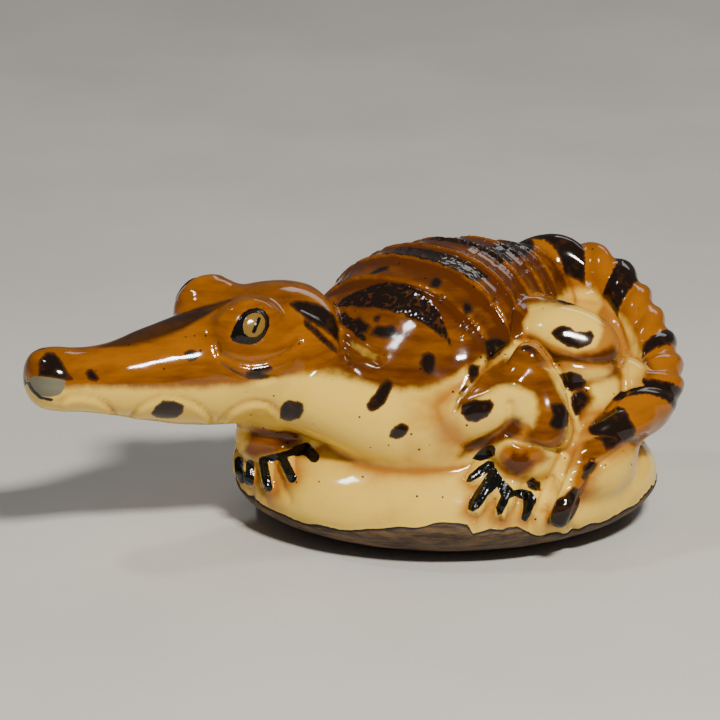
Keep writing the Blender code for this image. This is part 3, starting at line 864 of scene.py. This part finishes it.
class CrocodileColours(bpy.types.PropertyGroup):
    ivory: colour("Ivory", "Bare ivory nut, cut clean", (0.82, 0.54, 0.078))
    # Deep ivory is the nut's own deeper tone and also the colour of the painted shade in its creases and
    # hollows.
    ivory_deep: colour("Deep ivory", "Bare ivory nut near its skin and in hollows", (0.40, 0.155, 0.016))
    stain_light: colour("Light stain", "Where the stain is thin", (0.32, 0.102, 0.0015))
    # Deep stain is thick stain and also the colour of the painted shade laid as stain in creases, under the
    # thigh and before each plate edge.
    stain_deep: colour("Deep stain", "Where the stain is thick", (0.080, 0.019, 0.0010))
    spot: colour("Spots", "Burnt spots and bands", (0.010, 0.005, 0.003))
    spot_rim: colour("Spot rims", "Thin edge of the burnt spots", (0.055, 0.018, 0.005))
    claw: colour("Claws", "Black paint of the claws and eye rims", (0.004, 0.004, 0.004))
    nose: colour("Nose", "Grey paint under the nose", (0.16, 0.15, 0.10))
    iris: colour("Iris", "Paint of the eyes", (0.21, 0.12, 0.022))
    skin: colour("Skin", "Brown skin of the nut", (0.165, 0.094, 0.040))
    skin_dark: colour("Dark skin", "Grain and rim of the nut's skin", (0.035, 0.019, 0.011))


class StageSettings(bpy.types.PropertyGroup):
    floor_colour: colour("Floor", "Pale floor", (0.60, 0.585, 0.55))
    floor_size: FloatProperty(
        name="Floor size", description="Half width of the floor",
        default=1.2, unit="LENGTH", min=0.1,
    )
    key_power: FloatProperty(
        name="Key light", description="Power of the lamp above and in front, in watts",
        default=1.8, min=0,
    )
    side_power: FloatProperty(
        name="Side light", description="Power of the lamp above and left, in watts",
        default=0.24, min=0,
    )
    back_power: FloatProperty(
        name="Back light", description="Power of the lamp above and behind, in watts",
        default=0.10, min=0,
    )


# The finish.

class Paints:
    """Adds nodes to a material, one after the other."""

    def __init__(self, name):
        self.material = bpy.data.materials.new(name)
        self.material.use_nodes = True
        self.tree = self.material.node_tree
        self.shader = self.tree.nodes["Principled BSDF"]
        self.coords = self.add("ShaderNodeTexCoord").outputs["Object"]

    def add(self, kind, **values):
        node = self.tree.nodes.new(kind)
        for key, value in values.items():
            setattr(node, key, value)
        return node

    def link(self, source, socket):
        self.tree.links.new(source, socket)

    def fill(self, socket, value):
        if hasattr(value, "is_output"):
            self.link(value, socket)
        else:
            socket.default_value = value

    def field(self, name):
        return self.add("ShaderNodeAttribute", attribute_name=name).outputs["Fac"]

    def stretched(self, scale):
        node = self.add("ShaderNodeMapping")
        node.inputs["Scale"].default_value = scale
        self.link(self.coords, node.inputs["Vector"])
        return node.outputs["Vector"]

    def noise(self, size, detail=2.0, roughness=0.5, stretch=None):
        """Noise whose lumps are about size millimetres across."""
        node = self.add("ShaderNodeTexNoise")
        node.inputs["Scale"].default_value = 1000.0 / size
        node.inputs["Detail"].default_value = detail
        node.inputs["Roughness"].default_value = roughness
        self.link(self.stretched(stretch) if stretch else self.coords, node.inputs["Vector"])
        return node.outputs["Fac"]

    def cells(self, size, output="Distance", randomness=1.0):
        node = self.add("ShaderNodeTexVoronoi")
        node.inputs["Scale"].default_value = 1000.0 / size
        node.inputs["Randomness"].default_value = randomness
        self.link(self.coords, node.inputs["Vector"])
        return node.outputs[output]

    def math(self, operation, a, b=0.0, c=0.0):
        node = self.add("ShaderNodeMath", operation=operation)
        for socket, value in zip(node.inputs, (a, b, c)):
            self.fill(socket, value)
        return node.outputs[0]

    def span(self, value, low, high, out_low=0.0, out_high=1.0):
        node = self.add("ShaderNodeMapRange", interpolation_type="SMOOTHSTEP")
        ends = {"Value": value, "From Min": low, "From Max": high, "To Min": out_low, "To Max": out_high}
        for key, v in ends.items():
            self.fill(node.inputs[key], v)
        return node.outputs["Result"]

    def blend(self, factor, below, above):
        node = self.add("ShaderNodeMix", data_type="RGBA")
        self.fill(node.inputs[0], factor)
        self.fill(node.inputs[6], below)
        self.fill(node.inputs[7], above)
        return node.outputs[2]


def nut_finish(colours):
    """Bare ivory with painted shade in its creases, stain, burnt spots, black claws, painted eyes and the
    nut's own skin, under varnish.
    """
    p = Paints("varnished_ivory_nut")
    c = {key: tuple(getattr(colours, key)) for key in CrocodileColours.__annotations__}
    waver = p.noise(1.1, 3.0)
    fine = p.noise(0.32, 2.0)
    cloud = p.noise(5.0, 3.0, 0.6)
    streak = p.noise(1.6, 3.0, 0.6, stretch=(0.35, 0.35, 1.6))
    # The bare ivory deepens with a random cloud of tone and with the painted shade.
    ivory = p.blend(p.span(p.math("ADD", cloud, p.field("warmth")), 0.45, 1.25), c["ivory"], c["ivory_deep"])

    edge = p.math("ADD", p.field("stain"), p.math("MULTIPLY_ADD", waver, 0.6, -0.3))
    edge = p.math("ADD", edge, p.math("MULTIPLY_ADD", fine, 0.12, -0.06))
    stained = p.span(edge, -0.46, 0.36)
    # The stain deepens where it lies thick, painted shade included.
    thick = p.math("ADD", p.field("thick"), p.math("MULTIPLY_ADD", streak, 1.3, -0.65))
    stain = p.blend(p.span(thick, -0.15, 1.0), c["stain_light"], c["stain_deep"])
    base = p.blend(stained, ivory, stain)

    freckle = p.cells(FRECKLE_SPACING)
    size = p.span(p.cells(FRECKLE_SPACING, "Color"), 0.46, 0.70, 0.0, 0.11)
    freckled = p.span(p.math("SUBTRACT", size, freckle), -0.02, 0.02)
    freckled = p.math("MULTIPLY", freckled, p.span(p.field("skin"), 0.1, -0.1))
    base = p.blend(p.math("MULTIPLY", freckled, 0.9), base, c["spot"])

    spot_edge = p.math("ADD", p.field("spots"), p.math("MULTIPLY_ADD", p.noise(0.6, 3.0), 0.34, -0.17))
    base = p.blend(p.span(spot_edge, -0.13, 0.05), base, c["spot_rim"])
    worn = p.span(p.noise(1.1, 3.0, 0.6), 0.52, 0.70, 0.0, 0.55)
    base = p.blend(p.span(spot_edge, 0.03, 0.24), base, p.blend(worn, c["spot"], c["spot_rim"]))
    stripe_edge = p.math("ADD", p.field("stripe"), p.math("MULTIPLY_ADD", streak, 1.0, -0.5))
    striped = p.math("MULTIPLY", p.span(stripe_edge, -0.15, 0.55), p.span(streak, 0.30, 0.62, 0.96, 0.78))
    base = p.blend(striped, base, c["spot"])

    stipple = p.cells(0.42)
    band_edge = p.math("ADD", p.field("bands"), p.math("MULTIPLY_ADD", p.noise(0.8, 2.0), 0.5, -0.25))
    banded = p.span(band_edge, -0.10, 0.12)
    band_colour = p.blend(p.span(stipple, 0.62, 0.80), c["spot"], c["spot_rim"])
    base = p.blend(banded, base, band_colour)

    base = p.blend(p.span(p.field("nose"), -0.05, 0.05), base, c["nose"])
    base = p.blend(p.span(p.field("iris"), -0.04, 0.04), base, c["iris"])
    claw_edge = p.math("ADD", p.field("claws"), p.math("MULTIPLY_ADD", fine, 0.10, -0.05))
    clawed = p.span(claw_edge, -0.03, 0.03)
    base = p.blend(clawed, base, c["claw"])

    grain = p.noise(0.9, 5.0, 0.7, stretch=(0.35, 0.7, 1.8))
    skinned = p.span(p.field("skin"), -0.03, 0.03)
    skin = p.blend(p.span(grain, 0.35, 0.68), c["skin_dark"], c["skin"])
    skin = p.blend(p.span(p.field("skin"), 0.26, 0.12), skin, c["skin_dark"])
    skin = p.blend(p.span(p.field("skin"), 0.16, 0.10), skin, c["claw"])
    base = p.blend(skinned, base, skin)
    p.link(base, p.shader.inputs["Base Color"])

    rough = p.span(p.noise(2.4, 3.0), 0.3, 0.7, 0.07, 0.13)
    rough = p.math("ADD", rough, p.math("MULTIPLY", skinned, 0.52))
    p.link(rough, p.shader.inputs["Roughness"])

    height = p.math("MULTIPLY", p.noise(0.9, 2.0), 0.004)
    height = p.math("ADD", height, p.math("MULTIPLY", p.math("MULTIPLY", stipple, banded), -0.035))
    height = p.math("ADD", height, p.math("MULTIPLY", p.math("MULTIPLY", grain, skinned), 0.16))
    height = p.math("ADD", height, p.math("MULTIPLY", p.math("MULTIPLY", p.noise(0.35, 2.0), clawed), 0.05))
    relief = p.add("ShaderNodeBump")
    relief.inputs["Strength"].default_value = 1.0
    relief.inputs["Distance"].default_value = 0.001
    p.link(height, relief.inputs["Height"])
    p.link(relief.outputs["Normal"], p.shader.inputs["Normal"])
    p.shader.inputs["IOR"].default_value = 1.5
    p.shader.inputs["Specular IOR Level"].default_value = 0.4
    return p.material


# Where the colours lie, as distances inside their edges in millimetres.

def seen_marks(r, outlines, *limits):
    """How far inside outlines on the side towards the camera, no further than the limits."""
    return np.minimum.reduce([marks(r.picture, outlines), r.shown, *limits])


def tail_stained(r):
    """The tail's stain, from an edge on its inner side over the crest to one on its outer side."""
    inner = (r.tail_angle - along_table(r.tail_share, TAIL_STAIN_INNER)) * STAIN_MM_PER_DEGREE
    outer = (TAIL_STAIN_OUTER - r.tail_angle) * STAIN_MM_PER_DEGREE
    return np.minimum.reduce([inner, outer, (r.on["tail"] + 0.1) * 3, -seen_marks(r, TAIL_CREAM)])


def stained(r):
    """The stain: down to a line along the body's side, and within outlines on the limbs."""
    p, height = r.points, r.points[:, 2]
    both = np.where((r.on["head"] > -0.6) & (r.on["trunk"] > -0.6), 0.6, 0)
    on_body = np.maximum(r.body_on, np.maximum(r.body_on, 0) + both) + 0.3
    off_leg = np.where(r.facing > 0, 0.1 - 3 * r.near_leg_on, 4)
    far_arm = height - FAR_ARM_STAIN_END - 0.6 * wavering(p, 6, 3)
    far_leg = height - FAR_LEG_STAIN_END - 0.6 * wavering(p, 6, 5)
    foot_on = np.maximum(r.on["feet"], r.on["left_arm"])
    far_foot_on = np.maximum(r.on["feet"], r.on["right_arm"])
    return np.maximum.reduce([
        np.minimum.reduce([r.above_edge, on_body, off_leg]),
        seen_marks(r, ARM_STAIN, r.on["left_arm"] + 0.15),
        seen_marks(r, THIGH_STAIN, r.on["left_thigh"] + 0.15),
        seen_marks(r, SHIN_STAIN, r.on["left_shin"] + 0.15),
        seen_marks(r, FOOT_STAIN, foot_on + 0.3),
        seen_marks(r, RIGHT_HAND_STAIN, far_foot_on + 0.3),
        seen_marks(r, (GAP_STAIN,), 0.3 - 3 * r.near_leg_on),
        # Painted shade under the near thigh and in the near arm's crease, laid as stain.
        seen_marks(r, (THIGH_UNDER_SHADE,)),
        seen_marks(r, (ARM_CREASE_SHADE,)),
        tail_stained(r),
        np.minimum.reduce([far_arm, r.on["right_arm"] + 0.2, p[:, 1] + 1.5]),
        np.minimum(far_leg, r.on["right_leg"] + 0.2),
        np.minimum.reduce([height - HIDDEN_ARM_STAIN_END, r.on["left_arm"] + 0.1, -r.shown]),
        np.minimum.reduce([height - HIDDEN_LEG_STAIN_END, r.near_leg_on + 0.1, -r.shown]),
    ])


def pale_rims(r):
    """The narrow bare rims of the near limbs: 1 on their lines, and 0 away from them."""
    off = np.minimum.reduce([from_line(r.picture, line) / PIXELS_PER_MM for line in PALE_RIMS])
    return bump(off, 0.30) * ramp(r.shown, 0, 0.5)


def stain_depth_and_shade(r, settings):
    """How thick the stain lies: thin at about 0, and pooled at about 1. Painted shade is laid in as thicker
    stain in the near arm's crease, under the near thigh and in the dip before each plate edge.
    """
    height = r.points[:, 2]
    on_trunk = ramp(r.on["trunk"], -0.3, 0.3)
    on_head = ramp(r.on["head"], 0, 0.6)
    thick = 0.54 + 0.26 * ramp(height, 17.0, 24.0) * on_trunk - 0.55 * ramp(r.on["tail"], 0, 0.6)
    nape = 0.45 * on_head * ramp(height, 20.8, 23.0) * ramp(r.head_along, 1.0, -3.0)
    thick = thick - 0.30 * on_head + nape
    pooled = (0.30 - 0.18 * on_head) * bump(r.above_edge - 1.0, 0.7) * ramp(r.body_on, -0.3, 0.3)
    thick = thick + pooled - 0.5 * ramp(seen_marks(r, FOOT_STAIN), -0.3, 0.1)
    thick = thick + ramp(seen_marks(r, FOOT_SHADE), -0.3, 0.4)
    # Painted shade: the stain lies deeper in the near arm's crease and under the near thigh.
    thick = thick + 0.9 * ramp(seen_marks(r, (ARM_CREASE_SHADE, THIGH_UNDER_SHADE)), -0.3, 0.3)
    past = (r.trunk_along - settings.plate_first) % settings.plate_spacing / settings.plate_spacing
    started = ramp(r.trunk_along, settings.plate_first - 1.5, settings.plate_first - 0.5)
    on_plates = ramp(height, 17.0, 19.0) * on_trunk * started
    # Before each plate edge the stain lies thicker, a painted shade in the dip there; on and just past the
    # edge it is thinner, as wear.
    worn = 0.55 * bump(past - 0.80, 0.14) - 0.45 * bump(past - 1.0, 0.07) - 0.3 * bump(past, 0.12)
    return thick + on_plates * worn


def warmth(r, rims):
    """Painted shade on the bare nut: how far its colour deepens in the shaded crease of the near arm and
    under the near thigh, in the creases where parts meet and in the grooves along the jaw, and 0.15 less on
    the figure than on the base.
    """
    # Painted shade in the near arm's crease and under the near thigh.
    arm = ramp(seen_marks(r, ARM_SHADE), -0.3, 0.3) * 0.9
    thigh = ramp(seen_marks(r, THIGH_SHADE), -0.5, 0.8) * 1.2
    # Painted shade in the creases where two parts of the figure meet, left out on the pale rims.
    parts = [r.body_on, *(near for part, near in r.on.items() if part not in ("head", "trunk"))]
    crowded = np.sort(np.column_stack([np.maximum(-near, 0) for near in parts]), axis=1)[:, 1]
    between_parts_shade = (0.85 - 0.3 * ramp(r.on["feet"], -0.5, 0.3)) * np.exp(-crowded / 0.8) * (1 - rims)
    # Painted shade in the grooves along the jaw's scallops.
    jaw = np.minimum.reduce([from_line(r.head_picture, arc) / PIXELS_PER_MM for arc in JAW_SCALLOPS])
    jaw = bump(jaw, 0.22) * ramp(r.head_shown, 0, 0.5) * ramp(r.on["head"], -0.5, 0)
    return np.maximum(arm, thigh) + between_parts_shade + 0.5 * jaw + 0.15 * (r.on["base"] > 0) - 0.15


def burnt_spots(r):
    """The burnt spots of the head, trunk and near limbs."""
    on_head = np.minimum(r.on["head"] + 0.8, r.head_shown)
    return np.maximum.reduce([
        np.minimum(marks(r.head_picture, HEAD_SPOTS), on_head),
        np.minimum(marks(r.head_picture, (NOSE_BLACK,)), r.head_shown),
        np.minimum.reduce([marks(r.trunk_picture, TRUNK_SPOTS), r.on["trunk"] + 0.4, r.trunk_shown]),
        seen_marks(r, NEAR_SPOTS),
        seen_marks(r, FOOT_SPOTS),
        seen_marks(r, ARM_SPOTS, r.on["left_arm"] + 0.2),
        seen_marks(r, THIGH_SPOTS, r.on["left_thigh"] + 0.4),
        seen_marks(r, SHIN_SPOTS, r.near_leg_on + 0.4),
    ])


def tail_bands(r):
    """The dark bands and spots of the tail, with those that are out of the camera's sight."""
    slanted = r.tail_share - SCUTE_SLANT * (r.tail_angle - SCUTE_CREST_ANGLE)
    found = [np.minimum.reduce([marks(r.picture, TAIL_SPOTS), (r.on["tail"] + 0.1) * 4, r.shown * 3])]
    anywhere, out_of_sight = np.full(len(slanted), np.inf), 0.3 - r.shown
    for table, limit in ((TAIL_BANDS, anywhere), (TAIL_HIDDEN_BANDS, out_of_sight)):
        for low, high, inner, outer in table:
            along = ((high - low) / 2 - np.abs(slanted - (low + high) / 2)) * TAIL_LENGTH
            past_inner = (r.tail_angle - inner) * BAND_MM_PER_DEGREE
            past_outer = (outer - r.tail_angle) * BAND_MM_PER_DEGREE
            on_tail = (r.on["tail"] + 0.15) * 4
            found.append(np.minimum.reduce([along, past_inner, past_outer, on_tail, limit]))
    return np.maximum.reduce(found)


def trunk_bands(r):
    """The dark bands across the trunk's back, the first a crescent, and the scutes of the nape."""
    along, off = r.trunk_along, r.trunk_left - BANDS_LEFT
    start, end, bend = CRESCENT_BAND
    found = [np.minimum(along - start, end - off**2 / bend - along)]
    for start, end, half in SQUARE_BANDS:
        found.append(np.minimum.reduce([along - start, end - along, half - np.abs(off)]))
    on_back = np.minimum(r.on["trunk"] + 0.3, r.points[:, 2] - 17.5)
    return np.maximum(np.minimum(np.maximum.reduce(found), on_back), seen_marks(r, (NAPE_SCUTES,)))


def eye_marks(r):
    """The eye's whole outline, its iris and its pupil, alike on the two sides of the head."""
    on_eye = (r.head_along > -5) & (np.abs(r.head_left) > 2) & (r.points[:, 2] > CHIN_HEIGHT)
    eye = np.minimum(inside(r.head_picture, EYE_RING) / PIXELS_PER_MM, r.head_shown)
    iris = np.minimum(inside(r.head_picture, IRIS) / PIXELS_PER_MM, r.head_shown)
    pupil = (PUPIL_HALF_WIDTH - from_line(r.head_picture, PUPIL)) / PIXELS_PER_MM
    return [np.where(on_eye, found, FAR_OUTSIDE) for found in (eye, iris, pupil)]


def black_paint(r):
    """The black claws of all feet, and the black rim under the nose."""
    on_foot = np.maximum.reduce([r.on["feet"], r.on["base"], r.on["right_arm"]]) + 0.4
    rim = np.minimum(strokes(r.head_picture, ((NOSE_RIM, NOSE_RIM_HALF_WIDTH),)), r.head_shown)
    return np.maximum.reduce([
        seen_marks(r, LEFT_CLAWS),
        np.minimum.reduce([strokes(r.picture, RIGHT_CLAWS), on_foot, r.shown]),
        np.where(r.points[:, 1] > 3, claw_depth(r.points), FAR_OUTSIDE),
        np.minimum(rim, r.head_along - NOSE_START),
    ])


# Operators.

WORK = {}


class CROCODILE_OT_forms(bpy.types.Operator):
    """Draw out the figure's forms and fuse them into one skin"""

    bl_idname = "crocodile.forms"
    bl_label = "Rough out the figure"

    def execute(self, context):
        settings = context.scene.crocodile_sizes
        groups = {part: [] for part in PARTS}
        groups["head"].append(head_tube())
        for (a, left, z), radii in EYE_MOUNDS:
            groups["head"].append(ball(on_head(a, left, z), radii, (0, 0, math.radians(HEAD_TURN))))
        for name, stations in (
            ("trunk", NECK), ("trunk", THROAT), ("left_arm", LEFT_ARM), ("right_arm", RIGHT_ARM),
            ("left_thigh", LEFT_THIGH), ("left_shin", LEFT_SHIN), ("right_leg", RIGHT_SHIN),
        ):
            groups[name].append(draw_out(spline_rows(stations, RINGS_PER_SPAN)))
        for name, centre, radii, turn in BALLS:
            groups[name].append(ball(centre, radii, (0, 0, math.radians(turn))))
        groups["base"].append(nut_round())
        smooth_tail = draw_out(spline_rows(TAIL, RINGS_PER_SPAN))
        smooth_trunk = trunk_tube(settings)
        body = [*(piece for pieces in groups.values() for piece in pieces), smooth_tail, smooth_trunk]
        groups["feet"] += pads_and_toes()
        groups["tail"].append(tail_tube(settings))
        groups["trunk"].append(trunk_tube(settings))
        WORK["trees"] = {name: tree_of(pieces) for name, pieces in groups.items()}
        details = [*groups["feet"], groups["tail"][-1], groups["trunk"][-1]]
        figure = join(body, PIECE)
        fuse(figure, settings.fuse_step, settings.body_softening)
        figure = join([figure, *details], PIECE)
        fuse(figure, settings.fuse_step, DETAIL_SOFTENING)
        take(figure)
        bpy.ops.object.mode_set(mode="EDIT")
        bpy.ops.mesh.select_all(action="SELECT")
        bpy.ops.mesh.bisect(plane_co=(0, 0, 0), plane_no=(0, 0, -1), clear_outer=True, use_fill=True)
        bpy.ops.object.mode_set(mode="OBJECT")
        WORK["figure"] = figure
        return {"FINISHED"}


class CROCODILE_OT_refine(bpy.types.Operator):
    """Divide the skin more finely where the eyes and the claws are cut"""

    bl_idname = "crocodile.refine"
    bl_label = "Refine the eyes and feet"

    def execute(self, context):
        figure = WORK["figure"]
        p = points_of(figure.data)
        normals = normals_of(figure.data)
        q = p - EYES_MIDDLE
        along, left = q @ HEAD_FORWARD, np.abs(q @ HEAD_LEFT)
        spots, _ = folded(p, normals, q @ HEAD_LEFT, HEAD_LEFT)
        above_chin = p[:, 2] > CHIN_HEIGHT
        fine = (inside(spots, EYE_RING) > -10) & (along > -5) & (left > 2.5) & above_chin
        fine |= claw_depth(p) > -0.4
        seen, facing = in_picture(p), -(normals @ SIGHT)
        for line, _, width in NEAR_CUTS:
            fine |= (from_line(seen, line) < (width + 0.35) * PIXELS_PER_MM) & (facing > 0)
        on_cheek = (along > -9) & (left > 1) & above_chin & (facing > -0.2)
        for line, _, width in HEAD_CUTS:
            fine |= (from_line(spots, line) < (width + 0.2) * PIXELS_PER_MM) & on_cheek
        take(figure)
        bpy.ops.object.mode_set(mode="EDIT")
        bpy.ops.mesh.select_mode(type="FACE")
        bpy.ops.mesh.select_all(action="DESELECT")
        bpy.ops.object.mode_set(mode="OBJECT")
        chosen = [all(fine[i] for i in face.vertices) for face in figure.data.polygons]
        figure.data.polygons.foreach_set("select", chosen)
        bpy.ops.object.mode_set(mode="EDIT")
        bpy.ops.mesh.subdivide(number_cuts=1)
        bpy.ops.mesh.vertices_smooth(factor=0.5, repeat=4)
        bpy.ops.object.mode_set(mode="OBJECT")
        return {"FINISHED"}


class CROCODILE_OT_carve(bpy.types.Operator):
    """Cut the eyes, folds, jaw, plates, claws and the edge of the nut's skin"""

    bl_idname = "crocodile.carve"
    bl_label = "Cut the fine carving"

    def execute(self, context):
        settings = context.scene.crocodile_sizes
        figure = WORK["figure"]
        box = points_of(figure.data)
        WORK["middle"] = (box.min(axis=0) + box.max(axis=0)) / 2
        r = WORK["reading"] = Reading(figure.data, WORK["trees"])
        px = PIXELS_PER_MM
        depth = settings.groove_depth
        near = ramp(r.head_facing, 0.05, 0.35) * ramp(r.on["head"], -0.8, 0.2)
        lift = np.zeros(len(r.points))
        eye = inside(r.head_picture, EYE_RING) / px
        lift += near * (EYE_RISE * ramp(eye, 0.15, 0.75) - EYE_GROOVE * bump(eye - 0.05, 0.22))
        for line, share, width in HEAD_CUTS:
            lift -= near * depth * share * bump(from_line(r.head_picture, line) / px, width)
        seen = ramp(r.facing, 0.02, 0.25)
        for line, share, width in NEAR_CUTS:
            lift -= seen * depth * share * bump(from_line(r.picture, line) / px, width)
        for arc in JAW_SCALLOPS:
            far = from_line(r.head_picture, arc) / px
            beneath = [(arc[-1][0], BELOW_JAW), (arc[0][0], BELOW_JAW)]
            below = inside(r.head_picture, [*arc, *beneath]) / px
            swell = 1.5 * ramp(below, -0.05, 0.30) * bump(np.maximum(below, 0), 1.1)
            lift += near * depth * (swell - 1.1 * bump(far, 0.20))

        on_trunk = ramp(r.on["trunk"], -0.5, 0.3)
        back = ramp(r.points[:, 2], 17.5, 20.0) * on_trunk
        edge = (r.trunk_along - settings.plate_first) % settings.plate_spacing
        started = ramp(r.trunk_along, settings.plate_first - 0.6, settings.plate_first)
        lift -= back * started * depth * 0.9 * bump(edge - settings.plate_spacing + 0.22, 0.20)
        for row in range(1, PLATE_ROWS + 1):
            line = np.abs(r.trunk_left) - PLATE_WIDTH * row - 0.35 * np.sin(r.trunk_along * 0.9 + row)
            lift -= back * started * depth * 0.6 * bump(line, 0.16)

        on_base = ramp(r.on["base"], -0.6, 0.2) + ramp(r.on["feet"], -0.6, 0.2)
        shown = ramp(r.facing, 0.05, 0.3) * np.clip(on_base, 0, 1)
        for groove in CLAW_GROOVES:
            lift -= shown * depth * 1.1 * bump(from_line(r.picture, groove) / px, 0.22)

        skin = along_table(r.points[:, 0], SKIN_EDGE) + 0.28 * wavering(r.points, 2.6, 4) - r.points[:, 2]
        low = ramp(r.points[:, 2], 7.0, 5.5)
        r.skin = np.where(low > 0.01, skin, -5.0)
        lift += SKIN_THICKNESS * ramp(r.skin, -0.05, 0.2) * ramp(r.points[:, 2], 0.0, 0.5)
        lift += 0.02 * wavering(r.points, 3.6, 8) + 0.005 * wavering(r.points, 1.3, 9)
        flat = ramp(r.points[:, 2], 0.0, 0.3)
        put_points(figure.data, r.points + r.normals * (lift * flat)[:, None])
        return {"FINISHED"}


class CROCODILE_OT_paint(bpy.types.Operator):
    """Lay out the stain, spots, bands, claws and eyes, and varnish the carving"""

    bl_idname = "crocodile.paint"
    bl_label = "Stain and varnish"

    def execute(self, context):
        figure, r = WORK["figure"], WORK["reading"]
        rims = pale_rims(r)
        bare = 0.6 - 0.62 * ramp(seen_marks(r, PALE_FOLDS), -0.35, 0.35) - 1.5 * rims
        stripe = along_table(r.head_along, SNOUT_STRIPE) - np.abs(r.head_left - 0.1)
        nose = np.minimum(marks(r.head_picture, (NOSE_GREY,)), r.head_shown)
        eye, iris, pupil = eye_marks(r)
        fields = {
            "stain": np.minimum(stained(r), bare),
            "thick": stain_depth_and_shade(r, context.scene.crocodile_sizes),
            "warmth": warmth(r, rims),
            "spots": np.maximum(burnt_spots(r), tail_bands(r)),
            "stripe": np.minimum(stripe, r.points[:, 2] - STRIPE_END),
            "bands": trunk_bands(r),
            "iris": iris,
            "claws": np.maximum.reduce([black_paint(r), np.minimum(eye, -iris), pupil]),
            "nose": np.minimum(nose, r.head_along - NOSE_START),
            "skin": r.skin,
        }
        for name, values in fields.items():
            layer = figure.data.attributes.new(name, "FLOAT", "POINT")
            layer.data.foreach_set("value", np.clip(values, -4, 4).astype(np.float32))

        take(figure)
        middle = WORK["middle"]
        bpy.ops.transform.translate(value=(-middle[0], -middle[1], 0))
        bpy.ops.object.transform_apply(location=True, rotation=True, scale=True)
        bpy.ops.transform.resize(value=(MM, MM, MM), center_override=(0, 0, 0))
        bpy.ops.object.transform_apply(location=True, rotation=True, scale=True)
        bpy.ops.object.shade_smooth()
        figure.data.materials.clear()
        figure.data.materials.append(nut_finish(context.scene.crocodile_colours))
        figure.data.polygons.foreach_set("material_index", np.zeros(len(figure.data.polygons), np.int32))
        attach(figure, "root")
        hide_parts(CAD_NODE)
        return {"FINISHED"}


def lamp(name, place, aim, size, power, tint):
    free_hands()
    bpy.ops.object.light_add(type="AREA", location=place)
    made = bpy.context.object
    made.name = name
    made.data.shape = "RECTANGLE"
    made.data.size, made.data.size_y = size
    made.data.energy = power
    made.data.color = tint
    made.rotation_mode = "QUATERNION"
    made.rotation_quaternion = (Vector(aim) - Vector(place)).to_track_quat("-Z", "Y")
    return made


class CROCODILE_OT_stage(bpy.types.Operator):
    """Lay the floor, hang the lamps and place the camera"""

    bl_idname = "crocodile.stage"
    bl_label = "Set the stage"

    def execute(self, context):
        stage = context.scene.crocodile_stage
        free_hands()
        size = stage.floor_size
        bpy.ops.mesh.primitive_plane_add(size=2 * size, location=(0, 0, 0))
        floor = bpy.context.object
        floor.name = "floor"
        p = Paints("pale_floor")
        tone = tuple(stage.floor_colour)
        darker = tuple(v * FLOOR_MOTTLING for v in tone[:3]) + (1,)
        p.link(p.blend(p.span(p.noise(30.0, 4.0), 0.35, 0.65), tone, darker), p.shader.inputs["Base Color"])
        p.shader.inputs["Roughness"].default_value = 0.85
        floor.data.materials.append(p.material)

        for name, place, size, power, tint in LAMPS:
            lamp(name, place, LAMP_AIM, size, getattr(stage, power), tint)
        world = bpy.data.worlds.new("studio")
        context.scene.world = world
        world.use_nodes = True
        background = world.node_tree.nodes["Background"]
        background.inputs["Color"].default_value = ROOM_COLOUR
        background.inputs["Strength"].default_value = ROOM_STRENGTH

        middle = WORK["middle"]
        aim = (AIM - np.array((middle[0], middle[1], 0))) * MM
        distance = EYE_DISTANCE * MM
        free_hands()
        bpy.ops.object.camera_add(location=tuple(aim - SIGHT * distance))
        camera = bpy.context.object
        camera.name = "camera"
        camera.rotation_mode = "QUATERNION"
        camera.rotation_quaternion = Vector(SIGHT).to_track_quat("-Z", "Y")
        camera.data.sensor_width = SENSOR_WIDTH
        camera.data.lens = SENSOR_WIDTH * distance / (PICTURE_SIDE / PIXELS_PER_MM * MM)
        camera.data.clip_start = 0.01
        camera.data.clip_end = 10
        context.scene.camera = camera
        return {"FINISHED"}


class CROCODILE_PT_panel(bpy.types.Panel):
    """Steps and settings of the carving"""

    bl_idname = "CROCODILE_PT_panel"
    bl_label = "Ivory nut crocodile"
    bl_space_type = "VIEW_3D"
    bl_region_type = "UI"
    bl_category = "Crocodile"

    def draw(self, context):
        layout = self.layout
        for step in STEPS:
            layout.operator(step.bl_idname)
        scene = context.scene
        for group in (scene.crocodile_sizes, scene.crocodile_colours, scene.crocodile_stage):
            box = layout.box()
            for key in type(group).__annotations__:
                box.prop(group, key)


STEPS = (CROCODILE_OT_forms, CROCODILE_OT_refine, CROCODILE_OT_carve, CROCODILE_OT_paint, CROCODILE_OT_stage)
GROUPS = (CrocodileSizes, CrocodileColours, StageSettings)


def register():
    for kind in (*GROUPS, *STEPS, CROCODILE_PT_panel):
        bpy.utils.register_class(kind)
    bpy.types.Scene.crocodile_sizes = PointerProperty(type=CrocodileSizes)
    bpy.types.Scene.crocodile_colours = PointerProperty(type=CrocodileColours)
    bpy.types.Scene.crocodile_stage = PointerProperty(type=StageSettings)


def unregister():
    del bpy.types.Scene.crocodile_stage, bpy.types.Scene.crocodile_colours, bpy.types.Scene.crocodile_sizes
    for kind in reversed((*GROUPS, *STEPS, CROCODILE_PT_panel)):
        bpy.utils.unregister_class(kind)


def main():
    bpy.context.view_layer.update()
    register()
    bpy.ops.crocodile.forms()
    bpy.ops.crocodile.refine()
    bpy.ops.crocodile.carve()
    bpy.ops.crocodile.paint()
    bpy.ops.crocodile.stage()
    print("triangles", sum(len(f.vertices) - 2 for f in WORK["figure"].data.polygons))


if __name__ == "__main__":
    main()
